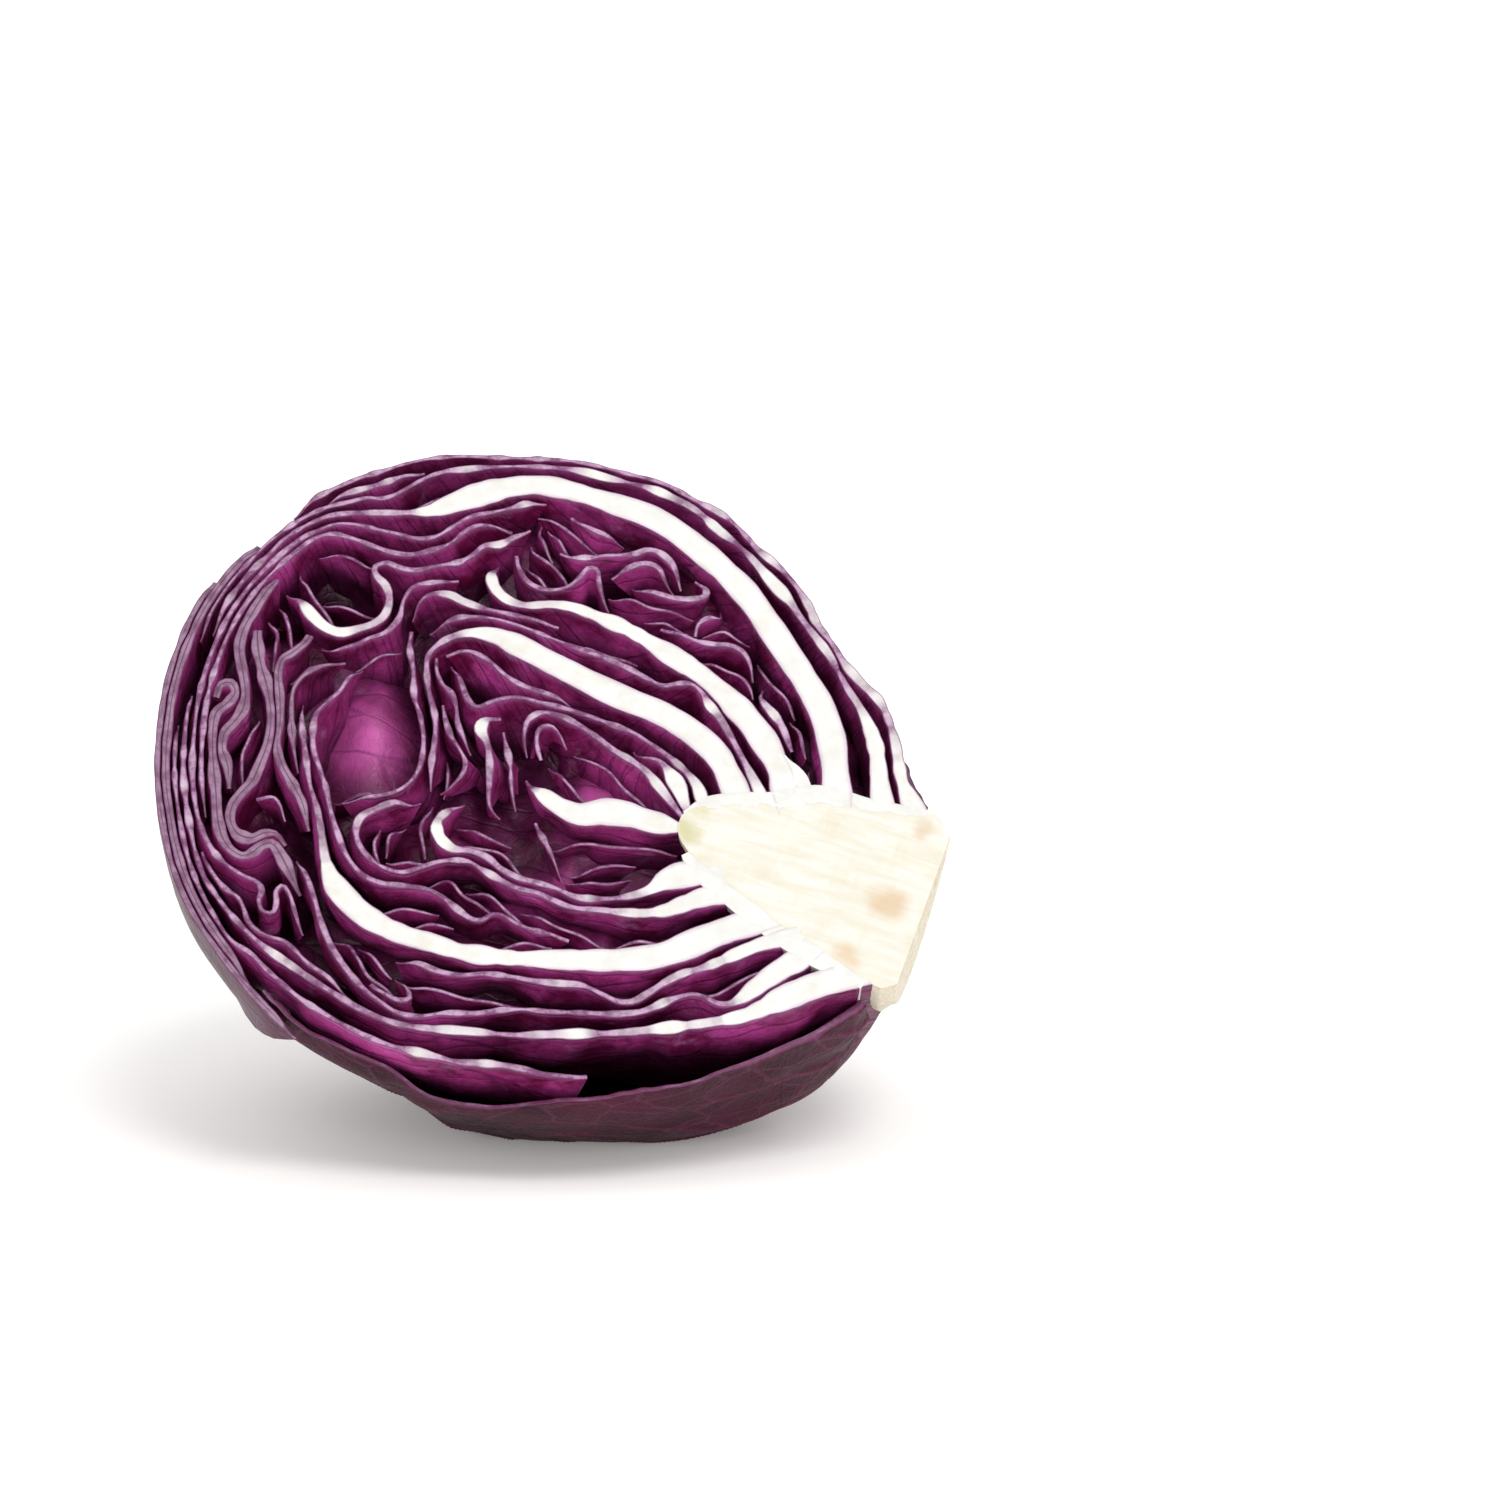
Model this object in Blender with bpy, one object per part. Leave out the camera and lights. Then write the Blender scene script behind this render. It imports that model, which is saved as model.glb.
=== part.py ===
"""Half a red cabbage head, cut lengthwise through its core and resting on a small flat spot.

Every cut leaf is a strip of its own, traced in the cut plane and carried back round the head's
middle, so that the leaves nest without touching. The core and two uncut wrapper leaves close it.
Lengths in the tables are millimetres; the objects are built in metres, +Z up.
"""
import math

import bmesh
import bpy
import numpy as np

for old in list(bpy.data.objects):
    bpy.data.objects.remove(old, do_unlink=True)

MM = 0.001

# The cut plane: tipped back by TIP, turned a little by TURN, through CENTRE.
TIP = math.radians(45.0)
TURN = math.radians(6.0)
CENTRE = np.array((-2.065, -15.387, 79.5))
N = np.array((math.sin(TURN) * math.cos(TIP), -math.cos(TURN) * math.cos(TIP), math.sin(TIP)))
A = np.array((math.cos(TURN), math.sin(TURN), 0.0))
B = np.cross(N, A)

# Behind the cut the head rounds off to BACK_R.
BACK_R = 82.2
BACK_FROM = math.radians(70.0)
# Fuller or flatter places behind the cut: direction, angle behind the cut, share of the radius and width, in
# degrees. The last one is the side that the half rests on.
SWELLS = [(-138, 24, -0.058, 18), (-99, 31, -0.052, 21), (-51, 26, 0.055, 19), (-90, 72, 0.058, 27)]
SWELL_FULL = math.radians(25.0)
# The flat spot: how deep it is pressed in, and how deep into the leaves the pressing reaches.
FLAT_DEEP = 4.5
PRESS_REACH = 26.0

# Behind the cut every leaf has its points at the same angles, so that nested faces run alike.
LEVELS = [math.radians(t) for t in (0, 13, 30, 50, 72)]
# A leaf ends at the last of these angles that is within BACK_SLACK degrees of its own reach.
BACK_SLACK = 6
# Along a leaf: samples STEP apart, thinned out to within CHORD, no face longer than LONGEST.
STEP = 1.0
CHORD = 0.2
LONGEST = 14.0
SPLINE_CUTS = 9
RING_STEP = 5.0
# Clearance between leaves and round the core, and the thinnest that a leaf may get.
LEAF_GAP = 0.6
LEAF_MIN = 0.75
CORE_GAP = 0.5
# Samples of one leaf fewer than OWN_RUN apart are neighbours, not two runs of it.
OWN_RUN = 7
# A rooted leaf runs on by ROOT_RUN, and is then cut back along its first ROOT_SAMPLES to clear the core.
ROOT_RUN = 4.0
ROOT_SAMPLES = 30
# A thick rib thins out to LAMINA behind the cut, within a few times RIB_KEEP.
LAMINA = 1.0
RIB_KEEP = 16.0

CORE_COLOUR = (0.86, 0.82, 0.70)
LOWER_COLOUR = (0.20, 0.05, 0.13)
UPPER_COLOUR = (0.27, 0.07, 0.20)
# Leaves step through a few shades of purple, so that neighbours can be told apart.
LEAF_COLOUR = np.array((0.26, 0.055, 0.20))
LEAF_LIGHTER = np.array((0.05, 0.0, 0.05))
LEAF_GREYER = np.array((0.0, 0.03, 0.0))

# The outline of the cut edges: direction in degrees, distance in mm.
OUTLINE = [(-48, 84.0), (-42, 83.5), (-30, 84.0), (-12, 82.5), (-6, 80.0), (0, 78.2), (10, 77.8),
           (15, 76.6), (21, 73.9), (28, 73.4), (36, 74.4), (51, 78.9), (61, 82.8), (69, 83.7), (76, 84.2),
           (87, 85.5), (93, 86.2), (100, 87.6), (106, 88.8), (115, 89.3), (122, 89.4), (130, 89.2),
           (136, 88.8), (142, 88.2), (150, 87.0), (157, 85.7), (162, 85.0), (166, 84.4), (171, 83.7),
           (177, 83.4), (183, 83.2), (188, 83.0), (194, 83.4), (204, 83.8), (212, 83.8), (218, 84.2),
           (223, 84.8), (227, 85.3), (235, 84.2), (245, 82.4), (257, 80.6), (270, 80.0), (281, 80.0),
           (292, 80.2), (302, 81.2), (312, 84.0)]

# The cut leaves: centre line in the cut plane and thickness, (a, b, w) in mm, from the base outward.
LEAVES = [
    # Leaves that spring from the upper side of the core, outermost first.
    ("top_1", 74, [(78.9, -12.4, 2.8), (78, -9, 2.4), (77, -5, 2.4), (76.7, 0, 2.3), (76.5, 5, 2.2),
     (75.9, 9.5, 2), (75, 13.5, 2), (73.6, 17, 2.6), (71.2, 20.2, 2.4), (69, 23.5, 2), (67, 27, 1.8),
     (65.4, 31, 1.4), (63.6, 34.5, 1.4), (61.8, 38, 1.8), (60.9, 41.5, 2.2), (59.8, 44.5, 1.8),
     (58.2, 48, 1.3), (55.8, 52, 1.5), (53, 55.5, 2.2), (50.6, 58.2, 1.5), (48.6, 61.3, 1.2),
     (46.2, 65, 1.4), (43.6, 68, 2), (40.6, 70.4, 2.4), (37.5, 72.4, 1.6), (34.5, 74.8, 1.1),
     (31.3, 77, 1), (27.5, 78.8, .9), (23, 80.2, .9), (18, 82, .9), (13, 83.6, .9), (7, 84.6, 1),
     (0, 85.1, 1), (-8, 85.6, 1), (-15, 86, 1), (-21, 85.5, 1), (-27, 84.1, 1), (-32, 82.2, 1),
     (-38, 80, 1), (-43, 77.4, 1), (-48, 74.4, 1), (-52.5, 71, 1)]),
    ("top_2", 74, [(72.2, -11.2, 4.2), (72.1, -5, 4), (72.2, 0, 3.8), (72, 5, 3.4), (71, 10, 3),
     (69.4, 15, 2.2), (67.4, 19.5, 1.8), (65.6, 24.5, 1.6), (64.2, 28.5, 2.2), (62.2, 32.5, 2.6),
     (60, 36.5, 1.8), (58.2, 40, 1.5), (56.6, 43.5, 2), (54.6, 46.8, 3.2), (52.4, 50.2, 3.6),
     (50.4, 53.5, 2), (48.2, 57, 1.8), (45.6, 60.3, 2), (43, 63, 3.2), (40.8, 65.6, 3.2),
     (38.4, 68.6, 1.6), (35.6, 71.2, 1.4), (32.6, 73.2, 2.4), (29.6, 75, 2.6), (26, 76.7, 1.4),
     (21.5, 78.2, 1.2), (17.5, 79.4, 2.4), (13.5, 80.9, 2.4), (9, 82, 1.4), (3, 82.7, 1.2),
     (-4, 82.9, 1.1), (-10, 82.7, 1.2), (-14, 82.2, 2), (-18, 81.8, 1.4), (-22, 80.4, 1.1),
     (-26, 77.9, 1.1), (-30, 75.2, 1.2), (-33, 74.2, 1.2), (-36, 74.5, 1.2), (-40, 73.4, 1.1),
     (-45, 72, 1), (-50, 69.3, 1), (-54, 66.3, 1), (-58, 62.5, 1)] + [("ring", 136, 153, 4.0, 1.0)]),
    ("top_fold", 60, [(-23, 82.6, .8), (-27, 81, .9), (-31, 79.2, 1), (-35, 77.6, 1.3), (-39, 76.4, 1.5),
     (-43, 74.8, 1), (-47, 72.9, .8)]),
    ("top_3", 74, [(62.6, -9.4, 12.8), (62.7, -3, 13), (62.7, 3, 13.4), (62.2, 9, 13.6), (60.6, 16, 13),
     (57.6, 23.5, 12.4), (54.4, 30.5, 12), (51, 38, 11.6), (47, 46, 11.2), (42, 53.2, 11), (37, 59, 10.6),
     (31.6, 64.6, 9.6), (26, 68.7, 9), (20, 71.4, 8), (14, 74, 6.4), (8, 76.2, 5.8), (2, 77.5, 5.8),
     (-5, 76.8, 6.2), (-11, 75, 6.2), (-16.5, 72.8, 5.4), (-22, 70.6, 3.4), (-28, 70.1, 1.8),
     (-34, 70.2, 1.6), (-40, 70.2, 1.5), (-45, 69.4, 1.3), (-50, 66.8, 1.1), (-55, 62.9, 1)] +
     [("ring", 134, 151, 6.0, 1.0)]),
    ("top_4", 70, [(51.4, -9, 6.6), (51, -3, 6.6), (49.4, 2, 7), (47, 8, 7), (43.5, 14, 6.4),
     (39.5, 19.5, 6), (35, 24.5, 5.6), (30, 28.8, 5.2), (25, 33, 4.4), (20, 36.8, 3.8), (15, 39.7, 3.8),
     (12, 41.3, 3.8), (8, 43.2, 3), (3, 44, 2.4), (-2, 43.8, 2.1), (-6, 45.4, 2.3), (-8.8, 49, 2.5),
     (-9.2, 53, 2.4), (-7.4, 56.8, 1.4)]),
    ("top_5", 62, [(46.4, -9, 2), (45.2, -5, 2.6), (43.8, -1, 2.6), (42, 4, 1.6), (40.5, 8, 1.6),
     (38.7, 12.5, 1.8), (36.6, 16, 2.2), (35.2, 19.4, 1.4), (33, 21.8, 1.2), (30, 21.9, 1),
     (27, 21.4, 1.1), (23.5, 23.4, 1.1), (19, 26.6, 1.5), (14, 29.4, 1.3), (9, 31.8, 1.1), (3, 34.8, 1),
     (-4, 38.4, 1), (-10, 40.5, 1), (-16, 40.9, 1), (-20, 39.9, 1), (-23.4, 38.4, .9)]),
    ("top_6", 66, [(41.2, -9, 8.4), (39.6, -3, 8.4), (37.4, 2.6, 8.8), (34, 7.2, 9.6), (30, 11, 10.2),
     (25, 14.6, 10.6), (19.5, 17.4, 11.2), (14, 20.6, 10.8), (8, 24.6, 9.6), (2, 28.6, 7.4),
     (-4, 32.7, 6), (-9, 35.6, 4), (-14, 36.5, 2.6), (-18, 35.8, 1.8), (-21.4, 33.8, 1.4),
     (-24, 30.6, 1.2), (-24.5, 26, 1.2), (-24.2, 21, 1.1), (-23.1, 14, 1.1), (-23.4, 8, 1.2),
     (-24.3, 2, 1.2), (-24.6, -3.4, 1)]),
    # Ruffled leaves in the pocket under the top rib.
    ("ruffle_1", 52, [(-3.4, 59, 1), (-3, 54, 1), (-1, 50, 1.2), (3, 48, 1.4), (7.4, 48.8, 1.2),
     (10.4, 51.6, 1.2), (12.4, 54, 1.2), (14.2, 53.4, 1), (14.4, 50, 1), (15.2, 46.5, 1),
     (16.4, 43.8, .9)]),
    ("ruffle_2", 50, [(6.4, 59.4, 1), (9, 57.4, 1), (12.5, 56.8, 1.2), (16, 57.3, 1.2), (20, 57.4, 1.4),
     (23.2, 57.8, 1.4), (25.6, 58.8, 1.4), (28, 58.2, 1.6), (30.4, 55.8, 1.6), (32, 52.6, 1.6),
     (32.8, 49.4, 1.2)]),
    ("ruffle_3", 46, [(17.4, 52, .9), (21, 54, 1), (25.4, 55, 1.1), (28, 53.6, 1.2), (29.4, 50.8, 1.2),
     (31, 48.4, 1)]),
    ("ruffle_4", 46, [(36, 51, 1), (38, 48.2, 1.2), (37.8, 45.8, 1.4), (35, 44.9, 1.4), (31, 45.2, 1.4),
     (27.4, 46.6, 1.4), (24.4, 48.4, 1.4), (22, 50, 1)]),
    ("ruffle_5", 44, [(35, 35.8, .9), (35.8, 38.6, 1), (38.4, 39.9, 1.2), (41, 40.8, 1),
     (41.2, 43.2, .9)]),
    ("ruffle_6", 46, [(27.5, 38, .9), (31.4, 35.6, 1), (34.6, 33.6, 1), (38.6, 32.4, 1.2),
     (42.4, 32, 1.2), (45, 30.2, 1.2), (46.6, 27.2, 1.1), (47, 24, 1)]),
    ("ruffle_7", 42, [(54, 4.4, 1), (53, 7.4, 1.4), (51.9, 10.4, 1.6), (50.4, 13.4, 2), (48.8, 16, 1.7),
     (48.2, 19, 1.2), (49, 21.8, 1)]),
    ("ruffle_8", 46, [(9.4, 69.4, 1.2), (11.6, 66.6, 1.6), (14.6, 64.2, 2), (18.4, 63, 1.6),
     (20.8, 61.6, 1)]),
    # Leaves above and round the upper left pocket.
    ("upper_1", 72, [(4, 73.4, .9), (0, 72.6, 1), (-3, 71.4, 1), (-8, 70, 1), (-13, 68.9, 1),
     (-17, 66.3, 1), (-21, 63.4, 1.1), (-25, 62.8, 1.1), (-29, 64, 1.1), (-33, 65.2, 1.2),
     (-38, 66.8, 1.2), (-43, 67.2, 1.1), (-47.4, 65.4, 1.1)] + [("ring", 129, 186, 8.0, 1.0)] +
     [(-73.9, -12, 1), (-72.6, -16.4, 1), (-70.6, -20.4, 1), (-67.8, -23.6, 1), (-64.8, -26, 1),
     (-62, -27.6, 1), (-61, -29.6, 1), (-61.7, -32.4, 1), (-60.8, -35, 1), (-58.8, -35.4, .9),
     (-58, -33, .9), (-58, -30, .9), (-56.6, -28.6, 1), (-55.2, -31, 1), (-54.2, -35, 1),
     (-52.6, -39.4, 1)]),
    ("upper_2", 70, [(-4, 65.4, .9), (-8, 66.2, .9), (-12, 66.2, 1), (-15, 64.4, 1), (-18, 61.4, 1),
     (-22, 59.6, 1.1), (-27, 58.4, 1.1), (-31, 59, 1.1), (-35, 60.8, 1.2), (-40, 63.2, 1.2),
     (-44, 64.4, 1)] + [("ring", 127, 187, 9.9, 1.1)]),
    ("upper_3", 64, [(0, 66, 1), (-3.4, 63.2, 1.3), (-7, 60.8, 2), (-10.4, 60.6, 1.3), (-13, 58.2, 1.1),
     (-16, 56.2, 1.1), (-22, 55, 1.1), (-26, 54, 1.1), (-29.6, 54.8, 1.2), (-32.4, 56.2, 1.4),
     (-35, 55, 1.6), (-34.6, 52.5, 1.7), (-32.8, 50, 2), (-32, 46, 2), (-33.2, 41.8, 2), (-35.8, 39.4, 2),
     (-39, 38.2, 2.2), (-43, 37.2, 2.4), (-46.3, 38.8, 2.6), (-49, 42, 2.6), (-51.4, 46, 2),
     (-54.5, 49.8, 1.3)]),
    ("upper_4", 60, [(-16.5, 52.2, 1), (-22, 50.6, 1.2), (-26.4, 49.6, 1.2), (-28.8, 46, 1), (-30, 41, 1),
     (-33.2, 37, 1), (-36.6, 35.6, 1), (-40, 33.8, 1), (-44, 33.2, 1), (-47, 34.8, 1)]),
    ("upper_5", 58, [(5, 38.9, .9), (1, 39.7, 1), (-4, 41, 1.1), (-8, 42.2, 1.1), (-13, 43.8, 1.4),
     (-16.2, 45.4, 2), (-18.6, 47, 2.2), (-22.6, 47.4, 1.2), (-25.4, 45.6, 1), (-27, 42, 1)]),
    # Leaves of the left side.
    ("left_1", 76, [("ring", 143, 227, 0.55, 1.0), (-54.6, -64.6, 1)]),
    ("left_2", 74, [("ring", 134, 218.5, 2.35, 1.0)]),
    ("left_3", 66, [(-70.2, 21.6, .9), (-69.2, 24.2, 1), (-67, 24.2, 1), (-66, 21.6, 1), (-67.6, 18.8, 1),
     (-70, 16.4, 1), (-70.9, 11, 1), (-70.9, 4, 1), (-70.4, -4, 1), (-70, -12, 1), (-69, -16.6, 1),
     (-67, -19.8, 1), (-65, -21, 1), (-63, -20.4, 1), (-61, -18.6, 1), (-58.8, -18, 1), (-57.4, -20, 1),
     (-55.4, -24.6, 1), (-52.9, -29.4, 1)]),
    ("left_4", 66, [(-56.4, 53.4, 1), (-59, 48.6, 1), (-61.6, 43.6, 1), (-64, 38.4, 1), (-65, 33.4, 1),
     (-64.4, 27.6, 1), (-63.8, 22, 1), (-64.4, 17, 1), (-66.2, 13.8, 1), (-68.3, 11, 1),
     (-68.9, 6.6, 1.4), (-67.8, 2.6, 1.6), (-67.6, -1.6, 1.4)]),
    ("left_5", 64, [(-61, 39.4, .9), (-61, 34.6, 1), (-60.4, 29, 1), (-59, 22, 1), (-58.4, 15, 1),
     (-59.2, 8, 1), (-61, 2.4, 1), (-62.6, -1.8, 1), (-64.8, -4.6, 1), (-66.9, -8, 1), (-67.4, -11.8, 1),
     (-65.9, -15.4, 1), (-63, -16.6, 1), (-60.2, -15.2, 1), (-57.6, -14.6, 1), (-55.8, -16.6, 1)]),
    ("left_6", 62, [(-49.6, 37.8, .9), (-51.2, 34.4, 1), (-53.6, 31.8, 1), (-55.6, 30.4, 1),
     (-56.6, 27, 1), (-56.4, 20, 1), (-56.5, 13, 1), (-57.2, 6.8, 1), (-56.2, 2, 1), (-54, -3, 1),
     (-52, -8, 1), (-50.8, -13, 1)]),
    ("left_7", 60, [(-42, 30.2, .9), (-46, 28.8, 1), (-50, 26.8, 1), (-53.2, 22.8, 1), (-54, 15, 1),
     (-53.8, 8, 1), (-52.8, 2, .9)]),
    ("left_8", 62, [(-73.4, -18.6, .8), (-72.6, -22, .9), (-70.8, -26, .9), (-68.6, -29.2, .9),
     (-66, -31.4, .9), (-64.8, -34.4, .9), (-64, -37.4, 1), (-61.6, -40.2, 1), (-59, -41.6, 1),
     (-56.6, -42.6, 1), (-54.4, -44.8, 1), (-51.9, -48, 1), (-47.6, -51.6, 1), (-43.6, -55, .9)]),
    ("left_9", 56, [(-61.8, -5.4, .9), (-59, -5.4, 1), (-57, -7, 1), (-55.8, -10.4, 1)]),
    # Leaves round the hollow left of the middle.
    ("middle_1", 60, [(3, -43, .9), (0, -42.2, 1), (-4, -41.4, 1), (-8, -39.4, 1), (-11, -37.2, 1),
     (-13, -37, 1), (-15, -38.4, 1), (-17.2, -38.2, 1), (-20, -35.8, 1), (-23, -32.6, 1), (-26, -30.6, 1),
     (-31, -29.4, 1), (-36, -28.6, 1), (-40, -26.2, 1), (-43, -21.5, 1), (-45, -15, 1), (-46.2, -9.6, 1),
     (-47, -4, 1), (-48.2, 1, 1), (-49.4, 6, 1), (-49.4, 12, 1), (-48.4, 16, 1), (-46, 18.8, 1),
     (-43.2, 21.8, 1), (-41.2, 25.6, 1), (-38.2, 29, 1)]),
    ("middle_2", 58, [(-27.4, 38.4, .9), (-28, 33, 1), (-27.4, 27, 1), (-27.4, 20, 1), (-26.2, 14, 1),
     (-25.8, 8, 1), (-26.6, 2, 1), (-28.4, -2, 1), (-31, -4.6, 1), (-34.5, -6, 1), (-39.5, -6.4, 1),
     (-43.6, -6, .9)]),
    # Leaves of the heart.
    ("heart_1", 56, [(26.8, -9.8, 1.6), (24.2, -5.2, 1.8), (22, -1.6, 1.8), (18.8, 1.6, 1.6),
     (15.2, 4.4, 1.4), (12, 7.6, 1.4), (8, 11.2, 1.2), (4, 13.8, 1.2), (0, 14.8, 1.2), (-3, 12.8, 1),
     (-4, 9, 1), (-3.5, 5, 1)]),
    ("heart_2", 58, [(33.4, -9.4, 1.8), (32.4, -5, 1.6), (30.2, -1.4, 1.2), (27.4, 2, 1), (23.4, 5.8, 1),
     (19.6, 9, 1), (15, 11.3, 1.1), (10, 13.7, 1.2), (4, 16.2, 1.2), (0, 17.4, 1.2), (-4, 18.8, 1),
     (-8, 18.8, 1), (-11, 17.8, 1), (-14, 16.6, 1), (-15.8, 18.6, 1), (-16.8, 22, 1), (-17.8, 26, 1),
     (-19, 29.6, 1)]),
    ("heart_3", 58, [(-20, 31.6, .9), (-17.2, 32.2, 1), (-14, 31.2, 1), (-10.5, 28.6, 1), (-7.5, 25, 1),
     (-4, 22.2, 1), (0, 20.4, 1), (5, 18.2, 1), (8.4, 16.6, .9)]),
    ("heart_4", 46, [(29.4, -9.6, 3.6), (28.4, -5.4, 3), (26.6, -1.4, 2), (24.8, 1.4, 1.2),
     (22.4, 2.6, 1), (20.4, 4.2, 1), (19.6, 6, .9)]),
    ("heart_5", 50, [(27.4, -16, 6), (21.5, -14.2, 8), (17, -12.4, 10.6), (12, -11.6, 11.8),
     (7, -12.2, 10), (3, -10.2, 6.6), (0, -7.6, 4), (-2.8, -4.4, 2), (-4, -1, 1.2)]),
    ("heart_6", 56, [(32.2, -28, 4), (28, -28.2, 5.2), (24, -29.6, 4.4), (21, -31.6, 2.8),
     (18, -32.8, 1.9), (14, -33.6, 1.2), (10, -33.8, 1.2), (5, -33.2, 1.3), (1, -31, 1.4),
     (-3, -29.4, 1.4), (-7, -28, 1.4), (-10.6, -25.6, 1.3), (-13.4, -22.6, 1.4), (-16.6, -21, 1.8),
     (-20.6, -20.2, 2.4), (-23.2, -17.4, 2.8), (-23.6, -13.4, 2.6), (-20.8, -10, 2), (-17.4, -7, 1.4)]),
    ("heart_7", 58, [(37.6, -33.2, 4.8), (32.6, -33.8, 4.6), (28, -35.4, 4), (24, -37, 3.4),
     (20, -37.6, 3.2), (15, -37.4, 2.6), (10, -36.6, 1.6), (4, -35.8, 1.2), (0, -33.8, 1.2),
     (-3, -32, 1.2), (-7, -30.8, 1.2), (-11, -28.4, 1.2), (-14.5, -25.8, 1.2), (-17, -23.8, 1.1),
     (-20, -23.2, 1.1), (-24, -23.6, 1.1), (-28, -25, 1.2), (-31.4, -26, 1.2), (-34.8, -25, 1.2),
     (-38.6, -21.8, 1.4), (-40.8, -17, 1.5), (-40, -12, 1.5), (-36, -9.4, 1.3), (-32.6, -8, 1.2),
     (-29.4, -8, 1.1), (-26.8, -6.4, 1)]),
    ("heart_8", 44, [(-22.2, 31.2, .9), (-22.2, 26, 1), (-21, 22.6, 1), (-19.2, 20.2, 1),
     (-18.4, 16.5, 1), (-18.2, 12, 1), (-16.8, 8.6, 1), (-15.6, 5.8, .9)]),
    ("heart_9", 42, [(-21.2, 18.4, .9), (-20.8, 13, 1), (-19.8, 9, 1), (-18.2, 5.6, 1), (-17, 2, 1),
     (-17.8, -1, 1), (-20, -3, 1), (-22.6, -4.2, .9)]),
    ("heart_10", 42, [(-8.8, 14.6, 1.2), (-11.8, 13.8, 1.8), (-13.4, 10.8, 2.6), (-12.2, 7, 2),
     (-11.8, 2, 1.4), (-12.2, -4, 1.3), (-12.2, -8.6, 1.3), (-10, -11, 1)]),
    ("heart_11", 40, [(-8.4, 11, .9), (-8, 6, 1), (-7.4, 1, 1), (-7.4, -4, 1), (-6.6, -9, .9)]),
    ("heart_12", 36, [(-.6, 3.4, .9), (-1.4, 7.4, 1), (-.6, 10.6, 1), (1.8, 11.4, 1), (4, 9.4, 1),
     (5.2, 6.8, .9)]),
    ("heart_13", 42, [(-2.6, -13, .9), (-1.4, -17.6, 1), (.4, -22.4, 1), (2.4, -27.4, .9)]),
    # Leaves that spring from the lower side of the core.
    ("low_1", 66, [(43.4, -40, 5.2), (39, -41.4, 6.4), (34, -43.2, 8.2), (29, -45.4, 8.6),
     (24, -47.6, 7.8), (19, -48.8, 6.8), (12, -49.2, 6.2), (5, -49, 5.6), (-2, -48.6, 4.4), (-10, -48, 4),
     (-20, -46.2, 5), (-26, -43.8, 5), (-32, -41.6, 5), (-38, -38, 5.4), (-42.5, -33.5, 5.4),
     (-46, -28, 4.4), (-47.6, -22, 3), (-48.2, -16, 1.8), (-48.9, -10, 1.1), (-50.4, -3, 1),
     (-51.2, 5, 1), (-51.8, 14, 1), (-51.4, 20, .9)]),
    ("low_2", 64, [(49.2, -44.4, 3), (44, -45.8, 3.4), (40, -47.4, 3.4), (37, -48.8, 2.8),
     (34, -50.2, 2.4), (30, -51.8, 1.9), (26, -53, 1.7), (22, -55.2, 1.7), (18.5, -57.6, 1.5),
     (15.5, -59.4, 1.3), (12.5, -59.4, 1.2), (9, -57.4, 1.1), (5, -55.2, 1.1), (1, -54.7, 1.8),
     (-3, -54.2, 1.3), (-6, -53.6, 1.1), (-10, -52.6, 1.1), (-15, -51.8, 1.1), (-20, -52, 1.1),
     (-25, -50.8, 1.2), (-29.6, -48.2, 1.6), (-33.4, -46.6, 1)]),
    ("low_3", 68, [(53.6, -48.2, 4), (50, -50.6, 4.4), (47, -52.4, 4.8), (44, -54.6, 4.8), (41, -57, 4.2),
     (38, -59.4, 2.8), (35.5, -60.6, 1.4), (33, -60.4, 1.1), (30.5, -58.8, 1.1), (28, -58, 1.1),
     (24, -59, 1.2), (20, -60.8, 1.4), (17, -62, 1.4), (12, -62.4, 1.2), (8, -62.2, 1.1), (3, -61.8, 1.1),
     (-3, -61.4, 1.1), (-7, -60.8, 1.1), (-12, -60.8, 1.1), (-17, -61.4, 1.1), (-24, -61.2, 1.2),
     (-29, -61.8, 1.2), (-33.4, -60.8, 1.2), (-37, -58, 1.2), (-40.6, -54.4, 1.2), (-43.8, -49.8, 1.1),
     (-46.8, -44, 1.1), (-48.8, -38, 1.1), (-50, -32.4, 1), (-51.6, -26.4, 1), (-53.6, -20.6, 1)]),
    ("low_4", 72, [(61.6, -54.4, 5), (57, -55.6, 6), (52, -57.4, 6.8), (47, -59.6, 6.2), (43, -61.6, 4.8),
     (39, -63.4, 3.4), (35, -64.4, 2.8), (30, -65.2, 2.6), (25, -65.8, 2.6), (20, -66.3, 2.8),
     (15, -66.8, 2), (10, -67.1, 1.5), (5, -67, 2.4), (0, -67, 2.6), (-5, -67, 2), (-10, -66.9, 1.4),
     (-17, -66, 2.1), (-22, -65.4, 2.4), (-26, -65, 2.2), (-30, -64.4, 1.4), (-35, -63, 1.3),
     (-41, -59.8, 1.3), (-45.6, -56.4, 1.3), (-50, -53, 1.5), (-54.4, -49.4, 2), (-58.4, -46, 2.1),
     (-61.8, -42.8, 1.6), (-65.2, -38.8, 1.2), (-68.4, -34.4, 1.1), (-71, -30, 1)] +
     [("ring", 200, 163, 6.1, 1.0)]),
    ("low_5", 72, [(5, -76.3, 1), (1, -77, 1.1), (-4, -76.4, 1.2), (-8, -75.2, 1.2), (-12, -74.2, 1.3),
     (-18, -73.4, 1.4), (-22, -73, 1.4), (-25.5, -71.8, 1.4), (-30, -70.4, 1.5), (-35, -68.8, 1.4),
     (-38.5, -67.2, 1.3), (-42, -65.2, 1.2), (-46, -62.6, 1.2), (-50, -59.6, 1.2), (-53.5, -56.8, 1.2),
     (-57, -53.2, 1.2), (-60.4, -49.4, 1.2), (-63.4, -45.6, 1.1)] + [("ring", 212, 169, 4.25, 1.0)]),
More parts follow.
